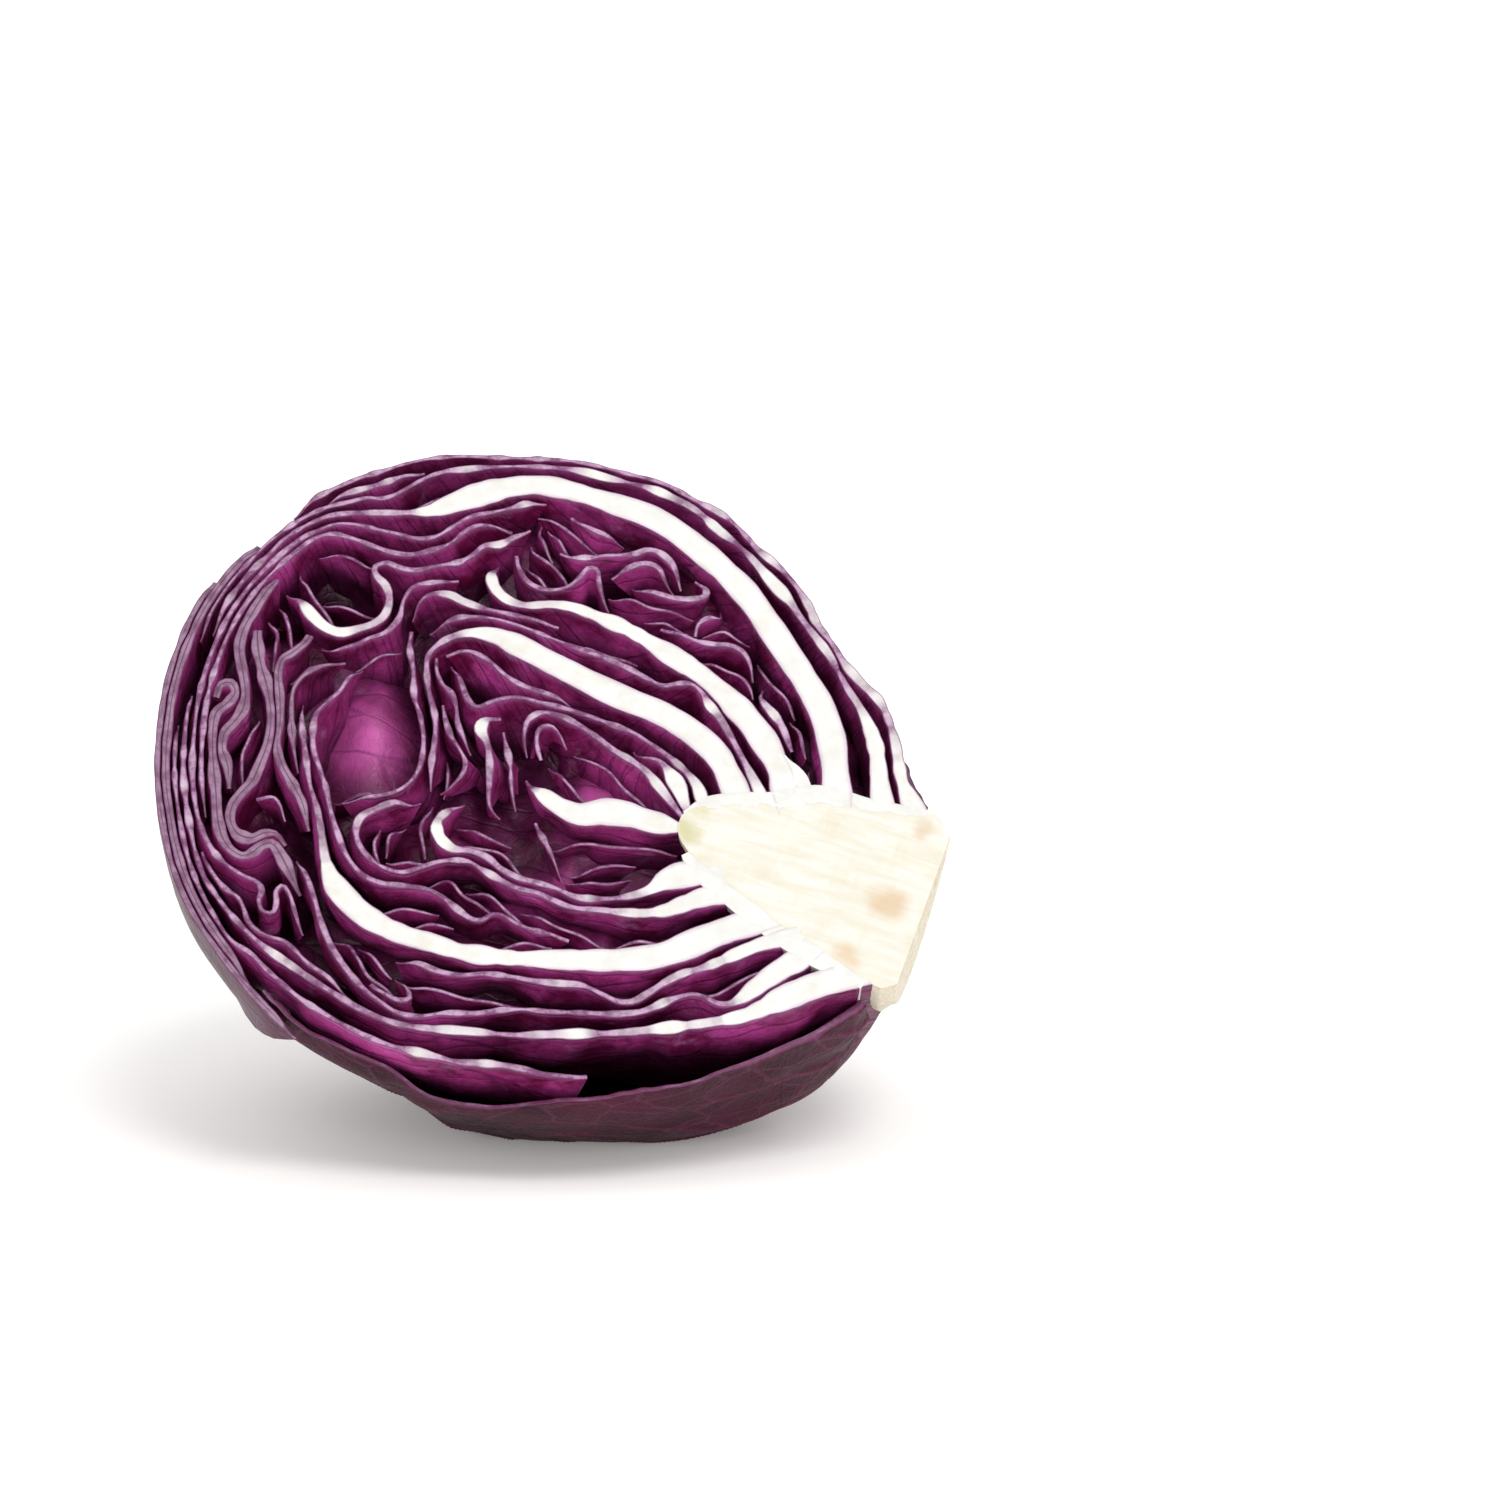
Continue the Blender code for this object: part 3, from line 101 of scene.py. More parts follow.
# The cut leaves: name, how far it runs back in degrees, and its centre line in the cut plane from the base
# outward, (a, b, thickness) in mm, where a point without a thickness has 1 mm. A ring run follows the outline:
# from and to which direction in degrees, how deep within it, and thickness.
LEAVES = [
    # Leaves that spring from the upper side of the core, outermost first.
    ("top_1", 74, [(78.9, -12.4, 2.8), (78, -9, 2.4), (77, -5, 2.4), (76.7, 0, 2.3), (76.5, 5, 2.2),
     (75.9, 9.5, 2), (75, 13.5, 2), (73.6, 17, 2.6), (71.2, 20.2, 2.4), (69, 23.5, 2), (67, 27, 1.8),
     (65.4, 31, 1.4), (63.6, 34.5, 1.4), (61.8, 38, 1.8), (60.9, 41.5, 2.2), (59.8, 44.5, 1.8),
     (58.2, 48, 1.3), (55.8, 52, 1.5), (53, 55.5, 2.2), (50.6, 58.2, 1.5), (48.6, 61.3, 1.2),
     (46.2, 65, 1.4), (43.6, 68, 2), (40.6, 70.4, 2.4), (37.5, 72.4, 1.6), (34.5, 74.8, 1.1), (31.3, 77),
     (27.5, 78.8, .9), (23, 80.2, .9), (18, 82, .9), (13, 83.6, .9), (7, 84.6), (0, 85.1), (-8, 85.6),
     (-15, 86), (-21, 85.5), (-27, 84.1), (-32, 82.2), (-38, 80), (-43, 77.4), (-48, 74.4), (-52.5, 71)]),
    ("top_2", 74, [(72.2, -11.2, 4.2), (72.1, -5, 4), (72.2, 0, 3.8), (72, 5, 3.4), (71, 10, 3),
     (69.4, 15, 2.2), (67.4, 19.5, 1.8), (65.6, 24.5, 1.6), (64.2, 28.5, 2.2), (62.2, 32.5, 2.6),
     (60, 36.5, 1.8), (58.2, 40, 1.5), (56.6, 43.5, 2), (54.6, 46.8, 3.2), (52.4, 50.2, 3.6),
     (50.4, 53.5, 2), (48.2, 57, 1.8), (45.6, 60.3, 2), (43, 63, 3.2), (40.8, 65.6, 3.2), (38.4, 68.6, 1.6),
     (35.6, 71.2, 1.4), (32.6, 73.2, 2.4), (29.6, 75, 2.6), (26, 76.7, 1.4), (21.5, 78.2, 1.2),
     (17.5, 79.4, 2.4), (13.5, 80.9, 2.4), (9, 82, 1.4), (3, 82.7, 1.2), (-4, 82.9, 1.1), (-10, 82.7, 1.2),
     (-14, 82.2, 2), (-18, 81.8, 1.4), (-22, 80.4, 1.1), (-26, 77.9, 1.1), (-30, 75.2, 1.2),
     (-33, 74.2, 1.2), (-36, 74.5, 1.2), (-40, 73.4, 1.1), (-45, 72), (-50, 69.3), (-54, 66.3), (-58, 62.5),
     ("ring", 136, 153, 4, 1)]),
    ("top_fold", 60, [(-23, 82.6, .8), (-27, 81, .9), (-31, 79.2), (-35, 77.6, 1.3), (-39, 76.4, 1.5),
     (-43, 74.8), (-47, 72.9, .8)]),
    ("top_3", 74, [(62.6, -9.4, 12.8), (62.7, -3, 13), (62.7, 3, 13.4), (62.2, 9, 13.6), (60.6, 16, 13),
     (57.6, 23.5, 12.4), (54.4, 30.5, 12), (51, 38, 11.6), (47, 46, 11.2), (42, 53.2, 11), (37, 59, 10.6),
     (31.6, 64.6, 9.6), (26, 68.7, 9), (20, 71.4, 8), (14, 74, 6.4), (8, 76.2, 5.8), (2, 77.5, 5.8),
     (-5, 76.8, 6.2), (-11, 75, 6.2), (-16.5, 72.8, 5.4), (-22, 70.6, 3.4), (-28, 70.1, 1.8),
     (-34, 70.2, 1.6), (-40, 70.2, 1.5), (-45, 69.4, 1.3), (-50, 66.8, 1.1), (-55, 62.9),
     ("ring", 134, 151, 6, 1)]),
    ("top_4", 70, [(51.4, -9, 6.6), (51, -3, 6.6), (49.4, 2, 7), (47, 8, 7), (43.5, 14, 6.4),
     (39.5, 19.5, 6), (35, 24.5, 5.6), (30, 28.8, 5.2), (25, 33, 4.4), (20, 36.8, 3.8), (15, 39.7, 3.8),
     (12, 41.3, 3.8), (8, 43.2, 3), (3, 44, 2.4), (-2, 43.8, 2.1), (-6, 45.4, 2.3), (-8.8, 49, 2.5),
     (-9.2, 53, 2.4), (-7.4, 56.8, 1.4)]),
    ("top_5", 62, [(46.4, -9, 2), (45.2, -5, 2.6), (43.8, -1, 2.6), (42, 4, 1.6), (40.5, 8, 1.6),
     (38.7, 12.5, 1.8), (36.6, 16, 2.2), (35.2, 19.4, 1.4), (33, 21.8, 1.2), (30, 21.9), (27, 21.4, 1.1),
     (23.5, 23.4, 1.1), (19, 26.6, 1.5), (14, 29.4, 1.3), (9, 31.8, 1.1), (3, 34.8), (-4, 38.4),
     (-10, 40.5), (-16, 40.9), (-20, 39.9), (-23.4, 38.4, .9)]),
    ("top_6", 66, [(41.2, -9, 8.4), (39.6, -3, 8.4), (37.4, 2.6, 8.8), (34, 7.2, 9.6), (30, 11, 10.2),
     (25, 14.6, 10.6), (19.5, 17.4, 11.2), (14, 20.6, 10.8), (8, 24.6, 9.6), (2, 28.6, 7.4), (-4, 32.7, 6),
     (-9, 35.6, 4), (-14, 36.5, 2.6), (-18, 35.8, 1.8), (-21.4, 33.8, 1.4), (-24, 30.6, 1.2),
     (-24.5, 26, 1.2), (-24.2, 21, 1.1), (-23.1, 14, 1.1), (-23.4, 8, 1.2), (-24.3, 2, 1.2),
     (-24.6, -3.4)]),
    # Ruffled leaves in the pocket under the top rib.
    ("ruffle_1", 52, [(-3.4, 59), (-3, 54), (-1, 50, 1.2), (3, 48, 1.4), (7.4, 48.8, 1.2),
     (10.4, 51.6, 1.2), (12.4, 54, 1.2), (14.2, 53.4), (14.4, 50), (15.2, 46.5), (16.4, 43.8, .9)]),
    ("ruffle_2", 50, [(6.4, 59.4), (9, 57.4), (12.5, 56.8, 1.2), (16, 57.3, 1.2), (20, 57.4, 1.4),
     (23.2, 57.8, 1.4), (25.6, 58.8, 1.4), (28, 58.2, 1.6), (30.4, 55.8, 1.6), (32, 52.6, 1.6),
     (32.8, 49.4, 1.2)]),
    ("ruffle_3", 46, [(17.4, 52, .9), (21, 54), (25.4, 55, 1.1), (28, 53.6, 1.2), (29.4, 50.8, 1.2),
     (31, 48.4)]),
    ("ruffle_4", 46, [(36, 51), (38, 48.2, 1.2), (37.8, 45.8, 1.4), (35, 44.9, 1.4), (31, 45.2, 1.4),
     (27.4, 46.6, 1.4), (24.4, 48.4, 1.4), (22, 50)]),
    ("ruffle_5", 44, [(35, 35.8, .9), (35.8, 38.6), (38.4, 39.9, 1.2), (41, 40.8), (41.2, 43.2, .9)]),
    ("ruffle_6", 46, [(27.5, 38, .9), (31.4, 35.6), (34.6, 33.6), (38.6, 32.4, 1.2), (42.4, 32, 1.2),
     (45, 30.2, 1.2), (46.6, 27.2, 1.1), (47, 24)]),
    ("ruffle_7", 42, [(54, 4.4), (53, 7.4, 1.4), (51.9, 10.4, 1.6), (50.4, 13.4, 2), (48.8, 16, 1.7),
     (48.2, 19, 1.2), (49, 21.8)]),
    ("ruffle_8", 46, [(9.4, 69.4, 1.2), (11.6, 66.6, 1.6), (14.6, 64.2, 2), (18.4, 63, 1.6), (20.8, 61.6)]),
    # Leaves above and round the upper left pocket.
    ("upper_1", 72, [(4, 73.4, .9), (0, 72.6), (-3, 71.4), (-8, 70), (-13, 68.9), (-17, 66.3),
     (-21, 63.4, 1.1), (-25, 62.8, 1.1), (-29, 64, 1.1), (-33, 65.2, 1.2), (-38, 66.8, 1.2),
     (-43, 67.2, 1.1), (-47.4, 65.4, 1.1), ("ring", 129, 186, 8, 1), (-73.9, -12), (-72.6, -16.4),
     (-70.6, -20.4), (-67.8, -23.6), (-64.8, -26), (-62, -27.6), (-61, -29.6), (-61.7, -32.4), (-60.8, -35),
     (-58.8, -35.4, .9), (-58, -33, .9), (-58, -30, .9), (-56.6, -28.6), (-55.2, -31), (-54.2, -35),
     (-52.6, -39.4)]),
    ("upper_2", 70, [(-4, 65.4, .9), (-8, 66.2, .9), (-12, 66.2), (-15, 64.4), (-18, 61.4),
     (-22, 59.6, 1.1), (-27, 58.4, 1.1), (-31, 59, 1.1), (-35, 60.8, 1.2), (-40, 63.2, 1.2), (-44, 64.4),
     ("ring", 127, 187, 9.9, 1.1)]),
    ("upper_3", 64, [(0, 66), (-3.4, 63.2, 1.3), (-7, 60.8, 2), (-10.4, 60.6, 1.3), (-13, 58.2, 1.1),
     (-16, 56.2, 1.1), (-22, 55, 1.1), (-26, 54, 1.1), (-29.6, 54.8, 1.2), (-32.4, 56.2, 1.4),
     (-35, 55, 1.6), (-34.6, 52.5, 1.7), (-32.8, 50, 2), (-32, 46, 2), (-33.2, 41.8, 2), (-35.8, 39.4, 2),
     (-39, 38.2, 2.2), (-43, 37.2, 2.4), (-46.3, 38.8, 2.6), (-49, 42, 2.6), (-51.4, 46, 2),
     (-54.5, 49.8, 1.3)]),
    ("upper_4", 60, [(-16.5, 52.2), (-22, 50.6, 1.2), (-26.4, 49.6, 1.2), (-28.8, 46), (-30, 41),
     (-33.2, 37), (-36.6, 35.6), (-40, 33.8), (-44, 33.2), (-47, 34.8)]),
    ("upper_5", 58, [(5, 38.9, .9), (1, 39.7), (-4, 41, 1.1), (-8, 42.2, 1.1), (-13, 43.8, 1.4),
     (-16.2, 45.4, 2), (-18.6, 47, 2.2), (-22.6, 47.4, 1.2), (-25.4, 45.6), (-27, 42)]),
    # Leaves of the left side.
    ("left_1", 76, [("ring", 143, 227, .55, 1), (-54.6, -64.6)]),
    ("left_2", 74, [("ring", 134, 218.5, 2.35, 1)]),
    ("left_3", 66, [(-70.2, 21.6, .9), (-69.2, 24.2), (-67, 24.2), (-66, 21.6), (-67.6, 18.8), (-70, 16.4),
     (-70.9, 11), (-70.9, 4), (-70.4, -4), (-70, -12), (-69, -16.6), (-67, -19.8), (-65, -21), (-63, -20.4),
     (-61, -18.6), (-58.8, -18), (-57.4, -20), (-55.4, -24.6), (-52.9, -29.4)]),
    ("left_4", 66, [(-56.4, 53.4), (-59, 48.6), (-61.6, 43.6), (-64, 38.4), (-65, 33.4), (-64.4, 27.6),
     (-63.8, 22), (-64.4, 17), (-66.2, 13.8), (-68.3, 11), (-68.9, 6.6, 1.4), (-67.8, 2.6, 1.6),
     (-67.6, -1.6, 1.4)]),
    ("left_5", 64, [(-61, 39.4, .9), (-61, 34.6), (-60.4, 29), (-59, 22), (-58.4, 15), (-59.2, 8),
     (-61, 2.4), (-62.6, -1.8), (-64.8, -4.6), (-66.9, -8), (-67.4, -11.8), (-65.9, -15.4), (-63, -16.6),
     (-60.2, -15.2), (-57.6, -14.6), (-55.8, -16.6)]),
    ("left_6", 62, [(-49.6, 37.8, .9), (-51.2, 34.4), (-53.6, 31.8), (-55.6, 30.4), (-56.6, 27),
     (-56.4, 20), (-56.5, 13), (-57.2, 6.8), (-56.2, 2), (-54, -3), (-52, -8), (-50.8, -13)]),
    ("left_7", 60, [(-42, 30.2, .9), (-46, 28.8), (-50, 26.8), (-53.2, 22.8), (-54, 15), (-53.8, 8),
     (-52.8, 2, .9)]),
    ("left_8", 62, [(-73.4, -18.6, .8), (-72.6, -22, .9), (-70.8, -26, .9), (-68.6, -29.2, .9),
     (-66, -31.4, .9), (-64.8, -34.4, .9), (-64, -37.4), (-61.6, -40.2), (-59, -41.6), (-56.6, -42.6),
     (-54.4, -44.8), (-51.9, -48), (-47.6, -51.6), (-43.6, -55, .9)]),
    ("left_9", 56, [(-61.8, -5.4, .9), (-59, -5.4), (-57, -7), (-55.8, -10.4)]),
    # Leaves round the hollow left of the middle.
    ("middle_1", 60, [(3, -43, .9), (0, -42.2), (-4, -41.4), (-8, -39.4), (-11, -37.2), (-13, -37),
     (-15, -38.4), (-17.2, -38.2), (-20, -35.8), (-23, -32.6), (-26, -30.6), (-31, -29.4), (-36, -28.6),
     (-40, -26.2), (-43, -21.5), (-45, -15), (-46.2, -9.6), (-47, -4), (-48.2, 1), (-49.4, 6), (-49.4, 12),
     (-48.4, 16), (-46, 18.8), (-43.2, 21.8), (-41.2, 25.6), (-38.2, 29)]),
    ("middle_2", 58, [(-27.4, 38.4, .9), (-28, 33), (-27.4, 27), (-27.4, 20), (-26.2, 14), (-25.8, 8),
     (-26.6, 2), (-28.4, -2), (-31, -4.6), (-34.5, -6), (-39.5, -6.4), (-43.6, -6, .9)]),
    # Leaves of the heart.
    ("heart_1", 56, [(26.8, -9.8, 1.6), (24.2, -5.2, 1.8), (22, -1.6, 1.8), (18.8, 1.6, 1.6),
     (15.2, 4.4, 1.4), (12, 7.6, 1.4), (8, 11.2, 1.2), (4, 13.8, 1.2), (0, 14.8, 1.2), (-3, 12.8), (-4, 9),
     (-3.5, 5)]),
    ("heart_2", 58, [(33.4, -9.4, 1.8), (32.4, -5, 1.6), (30.2, -1.4, 1.2), (27.4, 2), (23.4, 5.8),
     (19.6, 9), (15, 11.3, 1.1), (10, 13.7, 1.2), (4, 16.2, 1.2), (0, 17.4, 1.2), (-4, 18.8), (-8, 18.8),
     (-11, 17.8), (-14, 16.6), (-15.8, 18.6), (-16.8, 22), (-17.8, 26), (-19, 29.6)]),
    ("heart_3", 58, [(-20, 31.6, .9), (-17.2, 32.2), (-14, 31.2), (-10.5, 28.6), (-7.5, 25), (-4, 22.2),
     (0, 20.4), (5, 18.2), (8.4, 16.6, .9)]),
    ("heart_4", 46, [(29.4, -9.6, 3.6), (28.4, -5.4, 3), (26.6, -1.4, 2), (24.8, 1.4, 1.2), (22.4, 2.6),
     (20.4, 4.2), (19.6, 6, .9)]),
    ("heart_5", 50, [(27.4, -16, 6), (21.5, -14.2, 8), (17, -12.4, 10.6), (12, -11.6, 11.8), (7, -12.2, 10),
     (3, -10.2, 6.6), (0, -7.6, 4), (-2.8, -4.4, 2), (-4, -1, 1.2)]),
    ("heart_6", 56, [(32.2, -28, 4), (28, -28.2, 5.2), (24, -29.6, 4.4), (21, -31.6, 2.8), (18, -32.8, 1.9),
     (14, -33.6, 1.2), (10, -33.8, 1.2), (5, -33.2, 1.3), (1, -31, 1.4), (-3, -29.4, 1.4), (-7, -28, 1.4),
     (-10.6, -25.6, 1.3), (-13.4, -22.6, 1.4), (-16.6, -21, 1.8), (-20.6, -20.2, 2.4), (-23.2, -17.4, 2.8),
     (-23.6, -13.4, 2.6), (-20.8, -10, 2), (-17.4, -7, 1.4)]),
    ("heart_7", 58, [(37.6, -33.2, 4.8), (32.6, -33.8, 4.6), (28, -35.4, 4), (24, -37, 3.4),
     (20, -37.6, 3.2), (15, -37.4, 2.6), (10, -36.6, 1.6), (4, -35.8, 1.2), (0, -33.8, 1.2), (-3, -32, 1.2),
     (-7, -30.8, 1.2), (-11, -28.4, 1.2), (-14.5, -25.8, 1.2), (-17, -23.8, 1.1), (-20, -23.2, 1.1),
     (-24, -23.6, 1.1), (-28, -25, 1.2), (-31.4, -26, 1.2), (-34.8, -25, 1.2), (-38.6, -21.8, 1.4),
     (-40.8, -17, 1.5), (-40, -12, 1.5), (-36, -9.4, 1.3), (-32.6, -8, 1.2), (-29.4, -8, 1.1),
     (-26.8, -6.4)]),
    ("heart_8", 44, [(-22.2, 31.2, .9), (-22.2, 26), (-21, 22.6), (-19.2, 20.2), (-18.4, 16.5), (-18.2, 12),
     (-16.8, 8.6), (-15.6, 5.8, .9)]),
    ("heart_9", 42, [(-21.2, 18.4, .9), (-20.8, 13), (-19.8, 9), (-18.2, 5.6), (-17, 2), (-17.8, -1),
     (-20, -3), (-22.6, -4.2, .9)]),
    ("heart_10", 42, [(-8.8, 14.6, 1.2), (-11.8, 13.8, 1.8), (-13.4, 10.8, 2.6), (-12.2, 7, 2),
     (-11.8, 2, 1.4), (-12.2, -4, 1.3), (-12.2, -8.6, 1.3), (-10, -11)]),
    ("heart_11", 40, [(-8.4, 11, .9), (-8, 6), (-7.4, 1), (-7.4, -4), (-6.6, -9, .9)]),
    ("heart_12", 36, [(-.6, 3.4, .9), (-1.4, 7.4), (-.6, 10.6), (1.8, 11.4), (4, 9.4), (5.2, 6.8, .9)]),
    ("heart_13", 42, [(-2.6, -13, .9), (-1.4, -17.6), (.4, -22.4), (2.4, -27.4, .9)]),
    # Leaves that spring from the lower side of the core.
    ("low_1", 66, [(43.4, -40, 5.2), (39, -41.4, 6.4), (34, -43.2, 8.2), (29, -45.4, 8.6), (24, -47.6, 7.8),
     (19, -48.8, 6.8), (12, -49.2, 6.2), (5, -49, 5.6), (-2, -48.6, 4.4), (-10, -48, 4), (-20, -46.2, 5),
     (-26, -43.8, 5), (-32, -41.6, 5), (-38, -38, 5.4), (-42.5, -33.5, 5.4), (-46, -28, 4.4),
     (-47.6, -22, 3), (-48.2, -16, 1.8), (-48.9, -10, 1.1), (-50.4, -3), (-51.2, 5), (-51.8, 14),
     (-51.4, 20, .9)]),
    ("low_2", 64, [(49.2, -44.4, 3), (44, -45.8, 3.4), (40, -47.4, 3.4), (37, -48.8, 2.8), (34, -50.2, 2.4),
     (30, -51.8, 1.9), (26, -53, 1.7), (22, -55.2, 1.7), (18.5, -57.6, 1.5), (15.5, -59.4, 1.3),
     (12.5, -59.4, 1.2), (9, -57.4, 1.1), (5, -55.2, 1.1), (1, -54.7, 1.8), (-3, -54.2, 1.3),
     (-6, -53.6, 1.1), (-10, -52.6, 1.1), (-15, -51.8, 1.1), (-20, -52, 1.1), (-25, -50.8, 1.2),
     (-29.6, -48.2, 1.6), (-33.4, -46.6)]),
    ("low_3", 68, [(53.6, -48.2, 4), (50, -50.6, 4.4), (47, -52.4, 4.8), (44, -54.6, 4.8), (41, -57, 4.2),
     (38, -59.4, 2.8), (35.5, -60.6, 1.4), (33, -60.4, 1.1), (30.5, -58.8, 1.1), (28, -58, 1.1),
     (24, -59, 1.2), (20, -60.8, 1.4), (17, -62, 1.4), (12, -62.4, 1.2), (8, -62.2, 1.1), (3, -61.8, 1.1),
     (-3, -61.4, 1.1), (-7, -60.8, 1.1), (-12, -60.8, 1.1), (-17, -61.4, 1.1), (-24, -61.2, 1.2),
     (-29, -61.8, 1.2), (-33.4, -60.8, 1.2), (-37, -58, 1.2), (-40.6, -54.4, 1.2), (-43.8, -49.8, 1.1),
     (-46.8, -44, 1.1), (-48.8, -38, 1.1), (-50, -32.4), (-51.6, -26.4), (-53.6, -20.6)]),
    ("low_4", 72, [(61.6, -54.4, 5), (57, -55.6, 6), (52, -57.4, 6.8), (47, -59.6, 6.2), (43, -61.6, 4.8),
     (39, -63.4, 3.4), (35, -64.4, 2.8), (30, -65.2, 2.6), (25, -65.8, 2.6), (20, -66.3, 2.8),
     (15, -66.8, 2), (10, -67.1, 1.5), (5, -67, 2.4), (0, -67, 2.6), (-5, -67, 2), (-10, -66.9, 1.4),
     (-17, -66, 2.1), (-22, -65.4, 2.4), (-26, -65, 2.2), (-30, -64.4, 1.4), (-35, -63, 1.3),
     (-41, -59.8, 1.3), (-45.6, -56.4, 1.3), (-50, -53, 1.5), (-54.4, -49.4, 2), (-58.4, -46, 2.1),
     (-61.8, -42.8, 1.6), (-65.2, -38.8, 1.2), (-68.4, -34.4, 1.1), (-71, -30),
     ("ring", 200, 163, 6.1, 1)]),
    ("low_5", 72, [(5, -76.3), (1, -77, 1.1), (-4, -76.4, 1.2), (-8, -75.2, 1.2), (-12, -74.2, 1.3),
     (-18, -73.4, 1.4), (-22, -73, 1.4), (-25.5, -71.8, 1.4), (-30, -70.4, 1.5), (-35, -68.8, 1.4),
     (-38.5, -67.2, 1.3), (-42, -65.2, 1.2), (-46, -62.6, 1.2), (-50, -59.6, 1.2), (-53.5, -56.8, 1.2),
     (-57, -53.2, 1.2), (-60.4, -49.4, 1.2), (-63.4, -45.6, 1.1), ("ring", 212, 169, 4.25, 1)]),
    ("low_6", 50, [(-38.8, -52.6), (-36.4, -55.4), (-33.6, -57.6), (-31, -57.4), (-31.6, -54),
     (-33.8, -50.8, .9)]),
]

# The cut face of the core, point by point round its edge, (a, b) in mm.
CORE = [(27.4, -15), (29.6, -11.4), (34, -10.2), (40, -10), (47, -10), (54, -10), (60, -10.2), (66, -11),
        (71, -12.4), (76, -13.4), (80.5, -14), (83.4, -13.8), (85.2, -16.6), (84.2, -20.5), (82.6, -25),
        (81.4, -29.5), (80, -35), (78.2, -40), (76.2, -44.4), (74.6, -49), (73, -53), (71.2, -56.6),
        (67.4, -57.6), (63.8, -55.4), (60.2, -51.8), (56.4, -48.6), (52.4, -45.4), (47.8, -41.6),
        (44, -38), (40, -33.6), (36.4, -30.2), (32.4, -26.4), (29.6, -22.6), (27.8, -19)]

# The stem's axis in the cut plane, and the head's own cross direction.
STEM_ANGLE = math.radians(-22.0)
STEM = math.cos(STEM_ANGLE) * A + math.sin(STEM_ANGLE) * B
ACROSS = -math.sin(STEM_ANGLE) * A + math.cos(STEM_ANGLE) * B

# Leaves that grow out of the core, and how far their ribs run into it, in mm.
ROOTED = ("top_1", "top_2", "top_3", "top_4", "top_5", "top_6", "heart_1", "heart_2", "heart_4", "heart_5",
          "heart_6", "heart_7", "low_1", "low_2", "low_3", "low_4")
ROOT_RUN = 9.0
# There they grow thicker, by ROOT_SWELL over ROOT_FADE, in mm; those thinner than ROOT_USUAL grow less.
ROOT_SWELL = 3.2
ROOT_FADE = 11.0
ROOT_USUAL, ROOT_LEAST = 2.0, 0.3

# Leaves that aren't the usual purple: 0 is darkest, 0.5 the usual, over 0.6 the cut edge has a dark middle
# line, and 1 is dusky grey outside too.
TINT = 0.5
TINTS = {"left_1": 1.0, "left_2": 0.8, "left_3": 0.8, "left_4": 0.8, "left_5": 0.8, "left_6": 0.8,
         "left_7": 0.7, "top_1": 0.42, "top_2": 0.3, "low_4": 0.40}
# Leaves of the tightly packed left side that fill the room between them: fullest thickness in mm, and the
# share of it that they have at least.
FULLER = {"left_1": 1.8, "left_2": 2.4, "left_3": 2.4, "left_4": 2.4, "left_5": 2.4, "left_6": 2.0}
FULLER_LEAST = 0.6
# A free end thins out over TIP_TAPER, sinks TIP_SINK behind the cut over TIP_RUN, in mm, and less at a leaf's
# inner end.
TIP_TAPER = 7.0
TIP_LEAST = 0.35
TIP_SINK = 3.2
TIP_RUN = 8.0
INNER_SINK = 0.6
# It draws back behind the cut by END_SLANT, in mm per radian, but never more than END_MOST of the leaf. The
# leaves in SLANTS draw back further.
END_SLANT = 26.0
END_MOST = 0.3
SLANTS = {"left_1": 90.0}
SLANT_MOST = 0.6
# A leaf's waves behind the cut: (height, length) in mm, growing to full height by WAVE_DEEP.
WAVES = [(2.0, 15.0), (0.8, 6.5)]
WAVE_SEEDS = ((A, 11), (B, 21))
WAVE_DEEP = 7.0
WAVE_FADE = 0.10
# Cut veins thicken a thin leaf's edge every VEIN_EVERY mm or so: height and width in mm, each times a number
# between two limits, and how thin a leaf has to be. They stop VEIN_END before its free end.
VEIN_SEED = 7
VEIN_EVERY, VEIN_FIRST, VEIN_NEXT = 13.0, (0.3, 1.0), (0.5, 1.5)
VEIN_SWELL, VEIN_HIGH = 0.9, (0.4, 1.2)
VEIN_WIDE, VEIN_WIDTH = 1.5, (0.7, 1.5)
VEIN_THIN = 0.8
VEIN_END = 8.0
# The edge is uneven too, a thick rib's less so. Noise is given as (height, size, seed), in mm.
UNEVEN = [(0.30, 5.0, 91), (0.22, 2.2, 92)]
UNEVEN_SHIFT = 40.0
UNEVEN_THICK, UNEVEN_LEAST = 2.5, 0.12
# Across a cut edge: the skin's rounding, and how far the core and the joints stand proud of the ribs.
RIM_DROP, RIM_THIN, RIM_RUN = 0.12, 0.8, 0.35
CORE_PROUD = 0.07
WEB_PROUD, WEB_PROUDER = 0.035, 0.008
CUT_NOISE = [(0.05, 1.6, 40), (0.07, 4.0, 41)]
CUT_NOISE_RUN = 0.5
# Its points: distance from the skin in mm and largest share of the width, for the first two, then the third.
CAP_NEAR = (0.14, 0.14)
CAP_NEXT = (0.4, 0.30)
CAP_THIRD = 0.45
# What the marks of a cut edge without a dark line say on top.
BARE_RIM, BARE_THICK = 5.0, 6.0
# From this share of the head's radius on, a leaf is outside.
OUTSIDE_FROM, OUTSIDE_RUN = 0.965, 0.03
GRID = 32

# Small folds of inner leaves in the wide gaps: how many, and for each the least room beside its start and
# beside the rest of it, its thickness, length and how deep it lies behind the cut, in mm.
FOLD_SEED = 29
FOLD_COUNT = 46
FOLD_TRIES = 5000
FOLD_START_ROOM = 2.5
FOLD_ROOM = 1.15
FOLD_THICK = 0.8
FOLD_LENGTH = (14.0, 40.0)
FOLD_LEAST = 10
FOLD_DEEP = (1.4, 5.0)
FOLD_BACK = math.radians(30.0)
FOLD_SLANT = 9.0
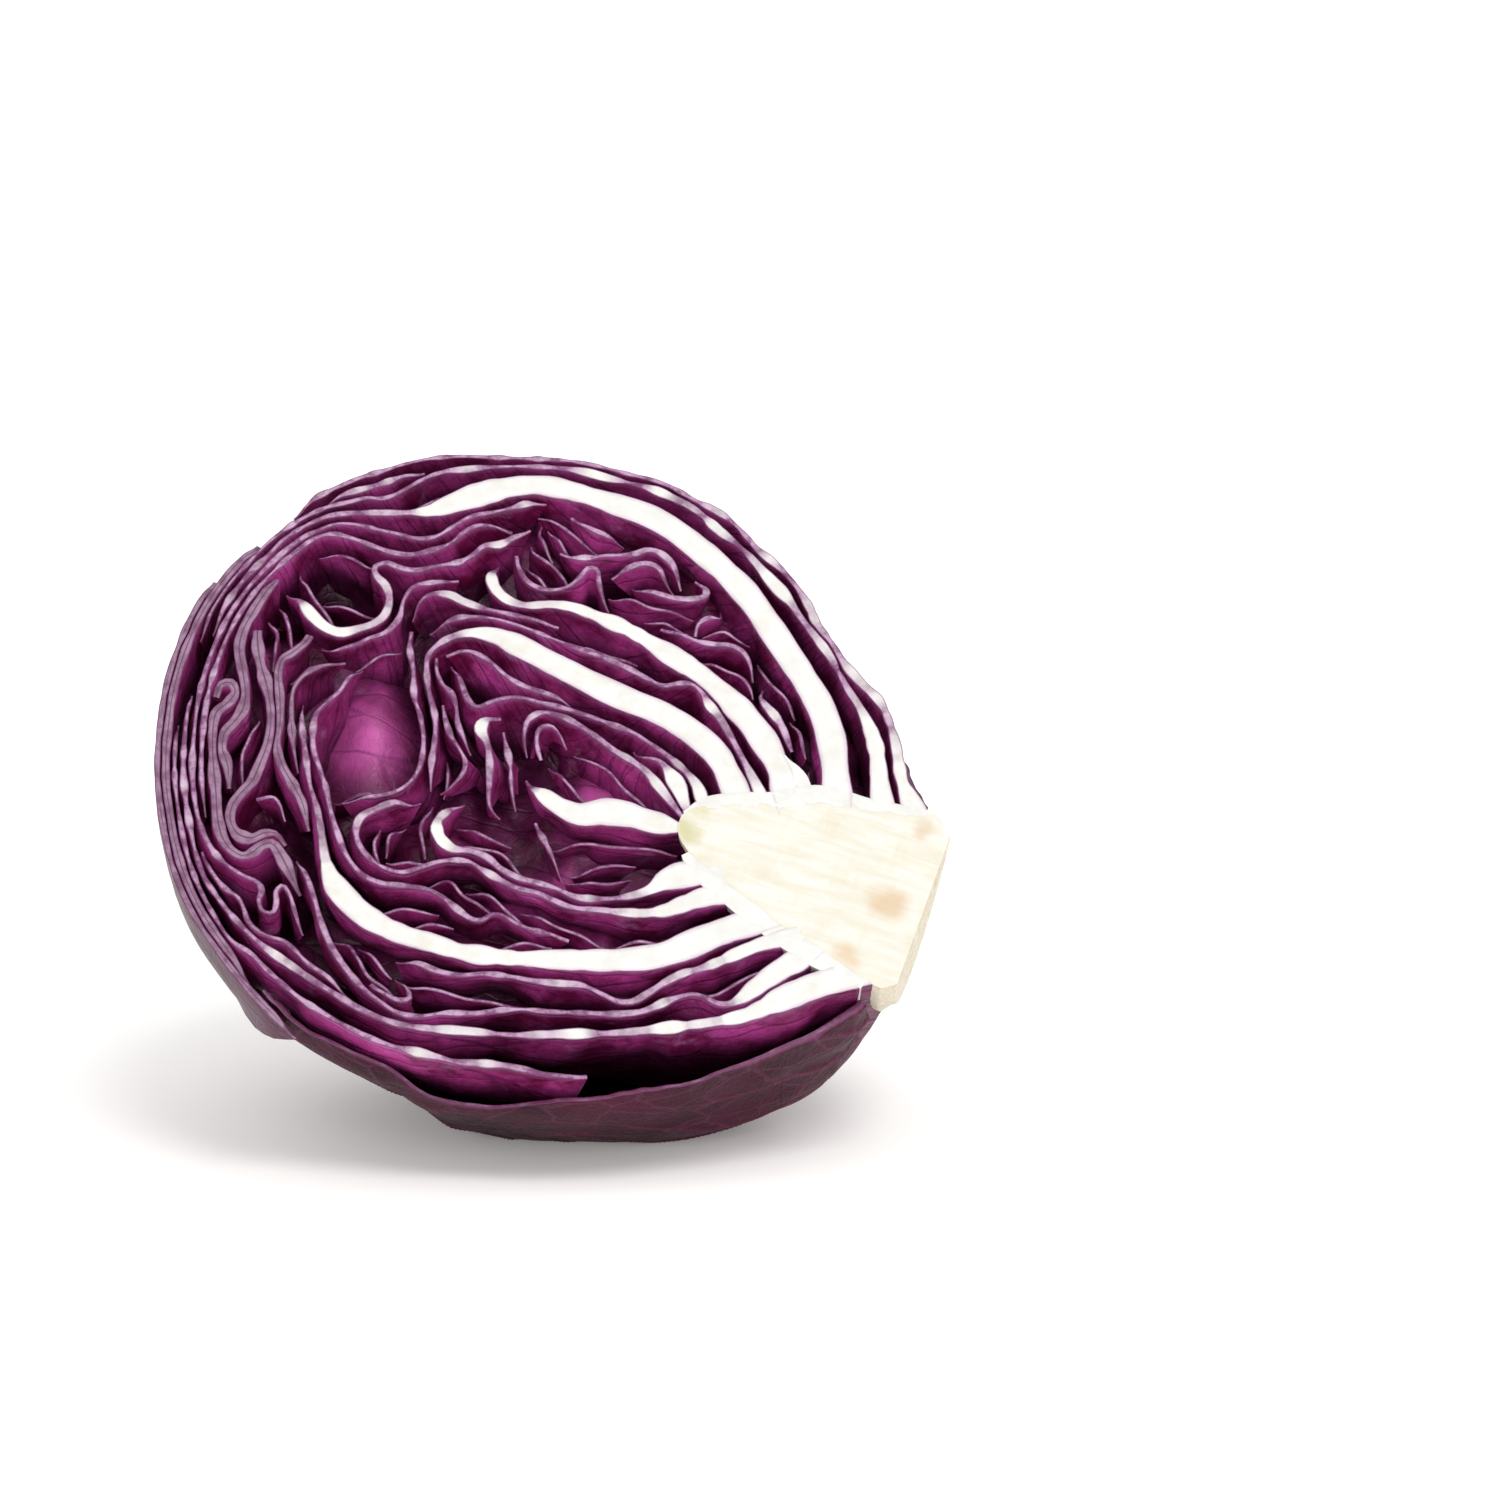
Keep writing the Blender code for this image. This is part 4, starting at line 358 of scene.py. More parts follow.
# How it strays from the leaf beside it, curls and drifts, in radians, and how strongly it turns back.
FOLD_STRAY = 0.9
FOLD_CURL, FOLD_BEAT, FOLD_PHASE = 0.5, 0.5, 6.0
FOLD_DRIFT = 0.08
FOLD_FOLLOW = 0.16
FOLD_TIP, FOLD_TIP_RUN = 0.5, 3.0
FOLD_NOISE = 100
# Smooth hollows that hold no folds: (a, b) and half sizes in mm.
FOLD_FREE = [((-37.0, 16.0), (9.0, 17.0)), ((-13.0, 25.0), (6.0, 6.0)), ((-42.0, 53.0), (7.0, 6.0)),
             ((14.0, -2.0), (10.0, 7.0)), ((20.0, -27.0), (10.0, 4.0))]

# Where ribs have grown together and into the core: name, centre line and width in the cut plane.
WEBS = [
    ("web_rib", [(56.0, -12, 4.8), (55.4, -7, 3.8), (54.9, -3.6, 3.2), (54.3, -2, 2.6), (53.6, -0.6, 1.8),
                 (52.8, 0.6, 1.0), (52.0, 2.2, 0.4)]),
    ("web_upper", [(29.4, -12.6, 1.6), (33.6, -10.2, 3.2), (38, -9.6, 4.2), (43, -9.4, 4.4), (48, -9.6, 4.4),
                   (53, -9.0, 5.4), (58, -8.8, 6.0), (63, -9.4, 5.0), (67, -10.6, 4.0), (71, -11.8, 3.2),
                   (75, -12.6, 3.2), (79, -13.6, 3.0), (82.6, -14.2, 2.4)]),
    ("web_lower", [(28.8, -22.8, 1.8), (30.2, -25.4, 3.2), (33.0, -29.0, 4.4), (37.0, -33.0, 5.0),
                   (41.0, -37.2, 5.2), (45.4, -41.6, 5.2), (49.8, -45.6, 5.2), (53.6, -48.8, 5.0),
                   (57.4, -51.8, 4.4), (61.0, -54.6, 3.4), (64.0, -56.8, 2.0)]),
]
WEB_NOISE = [(0.4, 6.0, 95)]
WEB_SMOOTH = 4.0
WEB_SEED = 70
# Their levels behind the cut in degrees, and the share of the width that each loses.
WEB_LEVELS = 5
WEB_SHRINK = 0.1

# Curved leaves seen from their face between the cut edges: how deep they lie behind the cut, and where they
# come nearer or drop away: (a, b), how wide, depth there, all in mm.
BACKING_DEEP = 12.0
BACKING_STEP, BACKING_HALF = 1.4, 90.0
BACKING_THICK = 0.8
BACKING_NOISE = [(3.2, 13.0, 51), (1.3, 5.5, 52)]
BACKING_FINE = [(0.25, 2.6, 53)]
BACKING = [
    ((-36.0, 16.0), (8.0, 13.0), 6.0), ((-44.0, 55.0), (8.0, 7.0), 22.0), ((-41.0, 40.0), (9.0, 6.0), 7.0),
    ((-13.0, 24.0), (9.0, 7.0), 24.0), ((-6.0, 8.0), (6.0, 6.0), 18.0), ((-56.0, -26.0), (6.0, 8.0), 20.0),
    ((12.0, 54.0), (9.0, 6.0), 18.0), ((30.0, 38.0), (8.0, 6.0), 8.0), ((8.0, -4.0), (8.0, 6.0), 7.0),
    ((-20.0, -14.0), (9.0, 5.0), 8.0), ((-10.0, -30.0), (14.0, 5.0), 9.0), ((-33.0, -52.0), (8.0, 5.0), 17.0),
    ((22.0, -62.0), (14.0, 4.0), 18.0), ((-60.0, 12.0), (5.0, 12.0), 9.0),
]
# How far out they reach: direction in degrees, share of the outline.
BACKING_SHARES = [(-130, 0.90), (-112, 0.86), (-100, 0.80), (-60, 0.80), (-45, 0.84), (-20, 0.88), (0, 0.90),
                  (215, 0.90)]
# Where they are pinker than elsewhere: (a, b) and half sizes in mm.
BLUSH = [((-37.0, 14.0), (9.0, 15.0)), ((16.0, -2.0), (10.0, 6.0)), ((12.0, -24.0), (12.0, 5.0))]

# The lower wrapper's outer face: direction in degrees, distance in mm, where it meets the cut plane.
LOWER_FACE = [(-150, 82.8), (-138, 82.3), (-130, 82.9), (-120, 82.0), (-110, 81.2), (-100, 80.8),
              (-90, 80.6), (-75, 80.8), (-60, 81.8), (-54, 83.0), (-48, 85.2), (-43, 87.0), (-35, 86.4),
              (0, 83.0), (209, 82.8)]
# How far the lower wrapper stands out over the cut leaves at the back.
WRAP_OVER = 2.1
# Its far end tucks in under the outermost left leaf: between which directions, how deep, and where it ends.
TUCK_FROM, TUCK_FULL, TUCK_DEEP = -109.0, -118.0, 3.3
TUCK_EDGE = math.radians(-139.0)
# A wrapper's root is ROOT_THICK, and thins out over ROOT_TAPER down to WRAP_THICK at ROOT_THIN from the stem.
WRAP_TINT = 0.4
WRAP_THICK = 1.1
ROOT_THICK = 2.2
ROOT_THIN = math.radians(42)
ROOT_TAPER = math.radians(20)
# Over EDGE_SHARE of it, its edges lose EDGE_THIN of their thickness.
EDGE_SHARE = 0.02
EDGE_THIN = 0.55
# The least heights of its outer and inner face, in mm.
WRAP_FLOOR = (0.0, 0.35)
# Wrapper leaves: rows run out from the stem, columns from the bottom edge of the cut round to its top. The
# lists give rows, first columns and last columns in degrees, the grids the points along and across.
ROOT_FROM = math.radians(20.3)
LOWER_EDGE = [9, 8, 5, 4, 3, 3, 5, 6, 3, 2, 1]
LOWER_FAR = 112
LOWER_GRID = (190, 190)
LOWER_POWER = 1.25
UPPER_ROWS = [18, 26, 36, 48, 60, 72, 84, 94, 103, 112, 120, 127, 132, 135]
UPPER_EDGE = [100, 98, 96, 94, 92, 90, 85, 79, 76, 78, 84, 93, 102, 110]
UPPER_FAR = [164, 164, 163, 162, 160, 158, 156, 154, 152, 149, 145, 139, 132, 124]
UPPER_GRID = (180, 120)
# How far the lower wrapper's ragged near margin draws back, in degrees.
TORN_MARGIN = 1.8
TORN_MIDDLE = 0.5
TORN_NOISE = [(0.35, 9.0, 65), (0.15, 3.5, 66)]
# The upper wrapper lies UPPER_CLEAR over what is under it, and over the lower wrapper up to LAP_UNTIL.
UPPER_CLEAR = 1.4
LAP_UNTIL = math.radians(128)
LAP_RUN = math.radians(12)

# Raised veins on the wrapper leaves, in mm: the midrib is widest at the stem and fades out at MIDRIB_END.
MIDRIB = 1.3
MIDRIB_WIDE, MIDRIB_WIDER = 1.0, 3.2
MIDRIB_NARROW, MIDRIB_SPAN = math.radians(95), math.radians(75)
MIDRIB_END, MIDRIB_FADE = math.radians(112), 0.5
MIDRIB_SWAY = [(5.0, 38.0, 0)]
# Side veins leave it every SIDE_VEIN_EVERY, and fade out towards SIDE_VEIN_REACH from it.
SIDE_VEIN, SIDE_VEIN_WIDE = 0.55, 0.8
SIDE_VEIN_EVERY, SIDE_VEIN_LEAN = 15.0, 1.05
SIDE_VEIN_SWAY = [(3.0, 24.0, 1)]
SIDE_VEIN_REACH, SIDE_VEIN_FADE, SIDE_VEIN_LEAST = 62.0, 40.0, 0.15
# Folds along the leaf, longer than wide, and small dents.
FOLDS, FOLDS_LONG = [(0.9, 13.0, 0)], 0.3
DENTS = [(0.4, 9.0, 1)]
# Each wrapper's midrib, seed of its veins and seed of its folds.
LOWER_VEINS = (math.radians(52), 61, 63)
UPPER_VEINS = (math.radians(146), 71, 73)

# The core: CORE's first CORE_UPPER points are its upper side, those from CORE_LOWER its lower side. Points
# along it, closer together at the butt, across its face and round its back.
CORE_UPPER, CORE_LOWER = 17, 22
CORE_ROWS, CORE_COLS, CORE_ARC = 90, 44, 26
CORE_POWER = 0.85
# Along the stem: how far the tip is blunted, the cut stem's edge, its bevel, and the end of its butt.
CORE_BLUNT = 0.4
CORE_EDGE, CORE_BEVEL = 84.4, 0.9
CORE_CORNER = 86.2
CORE_BUTT = 87.2
# The butt's two sides across the stem, how much shallower it is than the edge, how deep it is hollowed, and
# its rings as shares of its rim.
BUTT_SIDES = (14.8, -26.0)
BUTT_SHRINK = 0.96
BUTT_HOLLOW = 0.8
BUTT_RINGS = (0.8, 0.6, 0.4, 0.2)
# Towards its butt the core gets deeper than half its width.
DEEPER, DEEPER_FROM, DEEPER_RUN = 0.2, 40.0, 45.0
# Noise on its face, which starts at its rim, on its back and on its butt.
FACE_NOISE, FACE_RUN = [(0.05, 2.4, 81)], 0.6
BACK_NOISE = [(0.5, 5.0, 82)]
BUTT_NOISE = [(0.35, 2.2, 83)]
# Stains on the core's cut face: (a, b) in mm, size in mm, strength, colour from 0 to 255.
SPOTS = [
    ((28.5, -17.5), 5.5, 0.60, (172, 166, 96)),
    ((33.0, -10.5), 4.0, 0.50, (184, 178, 112)),
    ((71.0, -36.5), 6.5, 0.62, (190, 156, 108)),
    ((60.5, -50.5), 5.5, 0.60, (196, 166, 124)),
    ((80.0, -18.0), 4.0, 0.45, (190, 156, 112)),
]

# Light: the sky's strength low and high, and suns by name, power, width and turn in degrees. The floor is
# overexposed in the photo, so it shines a little.
FLOOR_HALF = 60000.0
FLOOR_GLOW = 0.13
SKY_RISE = (0.30, 0.75)
SKY_LOW, SKY_HIGH = 1.0, 0.90
SUNS = [("sun_high", 1.0, 24.0, (34.0, 0.0, 30.0)), ("sun_front", 1.15, 40.0, (76.0, 0.0, 6.0))]
FLOOR_CLOUD = 400.0
FLOOR_COLOURS = ((0.915, 0.902, 0.885, 1.0), (0.925, 0.912, 0.895, 1.0))
FLOOR_LIGHT = (1.0, 0.985, 0.965, 1.0)

# How deep light goes into a leaf, in mm, and colours from 0 to 255.
SOFT_DEEP = 1.2
COLOURS = {
    "skin": ((92, 12, 54), (176, 64, 140)),
    "skin speck": (132, 28, 90),
    "skin pale": (178, 124, 176),
    "skin vein": (66, 10, 46),
    "skin net": (62, 10, 46),
    # painted light: skin just behind the cut turns towards this
    "skin painted light near the cut": (172, 112, 168),
    "skin blush": (184, 92, 158),
    "skin blush vein": (110, 24, 84),
    # painted shade: the colour that skin lying deep behind the cut darkens to
    "skin painted deep shade": (30, 3, 19),
    "skin dark": (52, 8, 34),
    "skin dusky": ((62, 30, 49), (88, 52, 75)),
    "skin outside": (72, 16, 46),
    "thin flesh": ((100, 50, 90), (172, 136, 168)),
    "flesh": ((204, 202, 197), (214, 213, 210)),
    "flesh stain": (192, 188, 166),
    "flesh packed": (104, 78, 94),
    "flesh edge": (160, 104, 158),
    "flesh line": (84, 20, 66),
    "flesh middle": (70, 16, 54),
    "core": ((205, 200, 184), (214, 212, 205)),
    "core streak": (202, 194, 170),
    "core cloud": (198, 186, 158),
    "core edge": (206, 203, 188),
    "bark": ((204, 192, 166), (226, 220, 204)),
    "bark stain": (182, 156, 124),
    "wrapper": ((34, 3, 16), (68, 11, 38)),
    "wrapper vein": (140, 72, 110),
    "wrapper net": (106, 46, 82),
    "wrapper bloom": (92, 48, 72),
    "wrapper ridge": (140, 66, 104),
    "wrapper edge": (150, 98, 134),
}


def lookup(table, degrees):
    """Read a table of (degrees, value) round the circle."""
    x = [row[0] for row in table]
    y = [row[1] for row in table]
    low = x[0]
    where = (np.asarray(degrees) - low) % 360.0 + low
    return np.interp(where, x + [low + 360.0], y + [y[0]])


def ease(x):
    x = np.clip(x, 0.0, 1.0)
    return x * x * (3.0 - 2.0 * x)


def direction(theta, t):
    e = np.cos(theta)[..., None] * A + np.sin(theta)[..., None] * B
    return np.cos(t)[..., None] * e - np.sin(t)[..., None] * N


def swell(theta, t):
    """Where the head behind the cut is fuller or flatter than its plain rounding."""
    u = direction(theta, t)
    more = 0.0
    for side, deep, amount, width in SWELLS:
        middle = direction(np.array(math.radians(side)), np.array(math.radians(deep)))
        far = np.degrees(np.arccos(np.clip(u @ middle, -1.0, 1.0)))
        more = more + amount * np.exp(-(far / width) ** 2)
    return 1.0 + more * ease(t / SWELL_FULL)


def head_radius(theta, t):
    """Outer radius of the cut leaves in any direction."""
    r0 = lookup(OUTLINE, np.degrees(theta))
    return (r0 + (BACK_R - r0) * ease(t / BACK_FROM)) * swell(theta, t)


def lower_radius(theta, t):
    """Outer radius of the lower wrapper leaf."""
    r0 = lookup(LOWER_FACE, np.degrees(theta))
    own = (r0 + (BACK_R + WRAP_OVER - r0) * ease(t / BACK_FROM)) * swell(theta, t)
    tuck = ease((TUCK_FROM - np.degrees(theta)) / (TUCK_FROM - TUCK_FULL))
    return own + (head_radius(theta, t) - TUCK_DEEP - own) * tuck


def press(points, theta, t, rho):
    """Flatten the underside, the outermost leaf fully and the ones within it less and less."""
    deep = lower_radius(theta, t) - rho
    keep = deep * (1.0 - FLAT_DEEP / PRESS_REACH)
    out = points.copy()
    out[..., 2] = np.where(deep < PRESS_REACH, np.maximum(points[..., 2], keep), points[..., 2])
    return out


def place(ab, t):
    """Carry points of the cut plane back round the middle of the head by the angle t."""
    a, b = ab[..., 0], ab[..., 1]
    theta = np.arctan2(b, a)
    t = np.full_like(a, t)
    grow = head_radius(theta, t) / lookup(OUTLINE, np.degrees(theta))
    rho = np.hypot(a, b) * grow
    return press(CENTRE + rho[..., None] * direction(theta, t), theta, t, rho)


def place_polar(theta, t, rho):
    return press(CENTRE + rho[..., None] * direction(theta, t), theta, t, rho)


def local(points):
    """Points as (a, b, depth behind the cut)."""
    off = points - CENTRE
    return np.stack((off @ A, off @ B, -(off @ N)), axis=-1)


def soft_noise(points, size, seed):
    """Smooth noise between -1 and 1, its bumps about size apart."""
    grid = np.random.default_rng(seed).uniform(-1.0, 1.0, (GRID, GRID, GRID))
    q = points / size + GRID * 8.0
    cell = np.floor(q).astype(int)
    f = q - cell
    f = f * f * f * (f * (6.0 * f - 15.0) + 10.0)
    total = 0.0
    for dx in (0, 1):
        wx = f[..., 0] if dx else 1.0 - f[..., 0]
        for dy in (0, 1):
            wy = f[..., 1] if dy else 1.0 - f[..., 1]
            for dz in (0, 1):
                wz = f[..., 2] if dz else 1.0 - f[..., 2]
                at = [(cell[..., k] + d) % GRID for k, d in enumerate((dx, dy, dz))]
                total = total + wx * wy * wz * grid[at[0], at[1], at[2]]
    return total


def expand(rows):
    """Write a leaf's rows out as points, with the ring runs that follow the outline."""
    out = []
    for row in rows:
        if row[0] != "ring":
            out.append((*row, 1.0)[:3])
            continue
        start, end, deep, thick = row[1:]
        for d in np.linspace(start, end, max(2, int(abs(end - start) / RING_STEP) + 1)):
            r = float(lookup(OUTLINE, d)) - deep
            out.append((r * math.cos(math.radians(d)), r * math.sin(math.radians(d)), thick))
    return np.array(out, dtype=float)


def smooth(points):
    """A smooth line through the points, as samples STEP apart."""
    p = np.vstack((2 * points[0] - points[1], points, 2 * points[-1] - points[-2]))
    knots = np.concatenate(([0.0], np.cumsum(np.linalg.norm(np.diff(p[:, :2], axis=0), axis=1) ** 0.5)))
    fine = []
    for i in range(1, len(p) - 2):
        k0, k1, k2, k3 = knots[i - 1:i + 3]
        for s in np.linspace(k1, k2, SPLINE_CUTS)[:-1]:
            a1 = p[i - 1] * (k1 - s) / (k1 - k0) + p[i] * (s - k0) / (k1 - k0)
            a2 = p[i] * (k2 - s) / (k2 - k1) + p[i + 1] * (s - k1) / (k2 - k1)
            a3 = p[i + 1] * (k3 - s) / (k3 - k2) + p[i + 2] * (s - k2) / (k3 - k2)
            b1 = a1 * (k2 - s) / (k2 - k0) + a2 * (s - k0) / (k2 - k0)
            b2 = a2 * (k3 - s) / (k3 - k1) + a3 * (s - k1) / (k3 - k1)
            fine.append(b1 * (k2 - s) / (k2 - k1) + b2 * (s - k1) / (k2 - k1))
    fine.append(p[-2])
    fine = np.array(fine)
    run = np.concatenate(([0.0], np.cumsum(np.linalg.norm(np.diff(fine[:, :2], axis=0), axis=1))))
    where = np.linspace(0.0, run[-1], max(LEAST_SAMPLES, int(run[-1] / STEP) + 1))
    return np.column_stack([np.interp(where, run, fine[:, i]) for i in range(fine.shape[1])])


def add_noise(points, rows, more=0, base=0.0):
    """Sum up smooth noise given as (height, size, seed), on top of base."""
    for height, size, seed in rows:
        base = base + height * soft_noise(points, size, seed + more)
    return base


def swell_veins(line, rng):
    """Thicken a thin leaf's edge here and there, where veins are cut through."""
    n = len(line)
    along = np.arange(n) * STEP
    at = VEIN_EVERY * rng.uniform(*VEIN_FIRST)
    extra = np.zeros(n)
    while at < along[-1]:
        wide = VEIN_WIDE * rng.uniform(*VEIN_WIDTH)
        extra += VEIN_SWELL * rng.uniform(*VEIN_HIGH) * np.exp(-((along - at) / wide) ** 2)
        at += VEIN_EVERY * rng.uniform(*VEIN_NEXT)
    thin_here = np.exp(-np.maximum(line[:, 2] - 1.0, 0.0) / VEIN_THIN)
    line[:, 2] += extra * thin_here * np.minimum(1.0, (along[-1] - along) / VEIN_END)
    q = np.column_stack((along, np.full(n, UNEVEN_SHIFT * rng.uniform()), np.zeros(n)))
    line[:, 2] *= 1.0 + add_noise(q, UNEVEN) * np.clip(UNEVEN_THICK / line[:, 2], UNEVEN_LEAST, 1.0)


def taper_tip(line):
    """Thin a leaf out towards its free end."""
    left = np.arange(len(line))[::-1] * STEP
    line[:, 2] *= TIP_LEAST + (1.0 - TIP_LEAST) * ease(left / TIP_TAPER)


def swell_root(line):
    """Thicken a rib where it joins the core, so that the gap beside it runs out to a point."""
    run = np.arange(len(line)) * STEP - ROOT_RUN
    line[:, 2] += ROOT_SWELL * ease(1.0 - run / ROOT_FADE) * np.clip(line[:, 2] / ROOT_USUAL, ROOT_LEAST, 1.0)


def tip_sink(count, rooted):
    """How far each sample of a leaf sinks behind the cut at its free ends."""
    run = np.arange(count) * STEP
    sink = TIP_SINK * ease(1.0 - run[::-1] / TIP_RUN) ** 2
    if not rooted:
        sink = np.maximum(sink, INNER_SINK * TIP_SINK * ease(1.0 - run / TIP_RUN) ** 2)
    return sink


def limit_thickness(lines):
    """Thin the leaves wherever two of them, or two runs of one, would come too close."""
    names = list(lines)
    points = np.vstack([lines[n] for n in names])
    owner = np.concatenate([np.full(len(lines[n]), i) for i, n in enumerate(names)])
    index = np.concatenate([np.arange(len(lines[n])) for n in names])
    w = points[:, 2].copy()
    gap = np.linalg.norm(points[:, None, :2] - points[None, :, :2], axis=2)
    same = (owner[:, None] == owner[None, :]) & (np.abs(index[:, None] - index[None, :]) < OWN_RUN)
    gap[same] = np.inf
    for _ in range(THIN_ROUNDS):
        both = (w[:, None] + w[None, :]) / 2
        scale = np.where(gap < both + LEAF_GAP, (gap - LEAF_GAP) / both, 1.0).min(axis=1)
        w = np.maximum(LEAF_MIN, w * np.clip(scale, THIN_MOST, 1.0))
    at = 0
    for n in names:
        one = w[at:at + len(lines[n])]
        wide = np.pad(one, 1, mode="edge")
        lines[n][:, 2] = np.minimum(one, (wide[:-2] + one + wide[2:]) / 3)
        at += len(one)


def leaf_section(line):
    """Mid line and half thickness vectors of a cut leaf."""
    mid = line[:, :2]
    run = np.gradient(mid, axis=0)
    run /= np.linalg.norm(run, axis=1)[:, None]
    side = np.column_stack((-run[:, 1], run[:, 0]))
    return mid, side * line[:, 2:] / 2


def leaf_place(points):
    """Where points lie on a leaf: along from the stem and round it, in mm."""
    u = points - CENTRE
    far = np.linalg.norm(u, axis=-1)
    u = u / np.maximum(far, 1e-6)[..., None]
    psi = np.arccos(np.clip(u @ STEM, -1.0, 1.0))
    phi = np.arctan2(-(u @ N), -(u @ ACROSS))
    return psi * far.mean(), phi * np.sin(psi) * far.mean()


def build_mesh(name, verts, faces, kinds, marks, materials):
    """A mesh from points in mm, faces, the material number of each, and numbers kept at its points."""
    mesh = bpy.data.meshes.new(name)
    mesh.from_pydata((np.asarray(verts) * MM).tolist(), [], faces)
    for one in materials:
        mesh.materials.append(one)
    mesh.polygons.foreach_set("material_index", np.asarray(kinds, dtype=np.int32))
    for key, values in marks.items():
        store = mesh.attributes.new(key, "FLOAT", "POINT")
        store.data.foreach_set("value", np.asarray(values, dtype=np.float32))
    mesh.shade_smooth()
    mesh.set_sharp_from_angle(angle=SHARP)
    mesh.validate()
    return add_object(name, mesh)


def add_object(name, data):
    one = bpy.data.objects.new(name, data)
    bpy.context.scene.collection.objects.link(one)
    return one


def finish_piece(piece, node):
    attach(piece, "root")
    if node:
        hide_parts(node)


def grid_faces(rows, cols, start, flip):
    """Four-sided faces of a grid of points numbered row by row from start."""
    i, j = np.meshgrid(np.arange(rows - 1), np.arange(cols - 1), indexing="ij")
    p = (start + i * cols + j).ravel()
    quads = np.stack((p, p + cols, p + cols + 1, p + 1), axis=1)
    return quads[:, ::-1] if flip else quads


def strip_faces(first, second, flip):
    """Four-sided faces between two equally long lists of point numbers."""
    first, second = np.asarray(first), np.asarray(second)
    quads = np.stack((first[:-1], first[1:], second[1:], second[:-1]), axis=1)
    return quads[:, ::-1] if flip else quads


def cap_shares(width):
    """How the points of a cut edge are spread across it: close together at the skins."""
    near = np.minimum(CAP_NEAR[0] / width, CAP_NEAR[1])
    next_in = np.minimum(CAP_NEXT[0] / width, CAP_NEXT[1])
    third = next_in + (0.5 - next_in) * CAP_THIRD
    half = np.stack((0 * near, near, next_in, third), axis=1)
    return np.hstack((half, np.full((len(width), 1), 0.5), 1.0 - half[:, ::-1]))


def outside_share(points):
    """1 on the outside of the head and 0 within it."""
    q = local(points)
    flat = np.hypot(q[..., 0], q[..., 1])
    radius = head_radius(np.arctan2(q[..., 1], q[..., 0]), np.arctan2(np.maximum(q[..., 2], 0.0), flat))
    return ease((np.linalg.norm(q, axis=-1) / radius - OUTSIDE_FROM) / OUTSIDE_RUN)


def leaf_mesh(name, outer, inner, materials, tint=TINT, proud=0.0, seed=0, lined=True):
    """A closed leaf from its two faces, grids of (along, back) points, with its cut edge as fine flesh."""
    n, m = outer.shape[:2]
    count = n * m
    width = np.linalg.norm(outer[:, 0] - inner[:, 0], axis=1)
    outer, inner = outer.copy(), inner.copy()
    low = RIM_DROP * np.minimum(1.0, width / RIM_THIN)[:, None]
    outer[:, 0] -= low * N - proud * N
    inner[:, 0] -= low * N - proud * N
    share = cap_shares(width)
    cols = share.shape[1]
    flat = outer[:, None, 0] * (1 - share[..., None]) + inner[:, None, 0] * share[..., None]
    rim = np.minimum(share, 1 - share) * width[:, None]
    lift = low * ease(rim / RIM_RUN) + add_noise(flat, CUT_NOISE, seed) * ease(rim / CUT_NOISE_RUN)
    flat = flat + lift[..., None] * N
    verts = np.vstack((outer.reshape(-1, 3), inner.reshape(-1, 3), flat[:, 1:-1].reshape(-1, 3)))
    first_out = np.arange(n) * m
    first_in = count + first_out
    middle = 2 * count + np.arange(n)[:, None] * (cols - 2) + np.arange(cols - 2)[None, :]
    columns = [first_out] + [middle[:, k] for k in range(cols - 2)] + [first_in]
    skin = [grid_faces(n, m, 0, False), grid_faces(n, m, count, True),
            strip_faces(first_out + m - 1, first_in + m - 1, True)]
    for i, flip in ((0, False), (n - 1, True)):
        skin.append(strip_faces(i * m + np.arange(m), count + i * m + np.arange(m), flip))
    cut = [strip_faces(a, b, False) for a, b in zip(columns, columns[1:])]
    ends = [[int(c[0]) for c in columns][::-1], [int(c[n - 1]) for c in columns]]
    quads = np.vstack(skin + cut).tolist()
    kinds = [0] * sum(len(s) for s in skin) + [1] * sum(len(c) for c in cut) + [1, 1]
    along, across = leaf_place(verts)
    outside = outside_share(verts)
    outside[2 * count:] = 0.0
    face_width = np.repeat(width, m)
    thick = np.concatenate((face_width, face_width, np.repeat(width, cols - 2)))
    marks = {
        "rim": np.concatenate((np.zeros(2 * count), rim[:, 1:-1].ravel())) + (0.0 if lined else BARE_RIM),
        "thick": thick + (0.0 if lined else BARE_THICK),
        "tint": np.full(len(verts), tint),
        "deep": np.maximum(local(verts)[:, 2], 0.0),
        "outside": outside,
        "along": along,
        "across": across,
    }
    return build_mesh(name, verts, quads + ends, kinds, marks, materials)


def wave(mid, rel):
    """How far the leaves sway at points behind the cut; neighbours sway together."""
    q = local(mid)
    grow = ease(q[..., 2] / WAVE_DEEP) * ease((1.0 - rel) / WAVE_FADE)
    out = np.zeros_like(mid)
    for k, (height, length) in enumerate(WAVES):
        for way, seed in WAVE_SEEDS:
            out += height * soft_noise(q, length, seed + k)[..., None] * way
    return out * grow[..., None]


def slide(points, at):
    """Points at the numbers at, which may lie between two of them."""
    return np.column_stack([np.interp(at, np.arange(len(points)), points[:, i]) for i in range(3)])


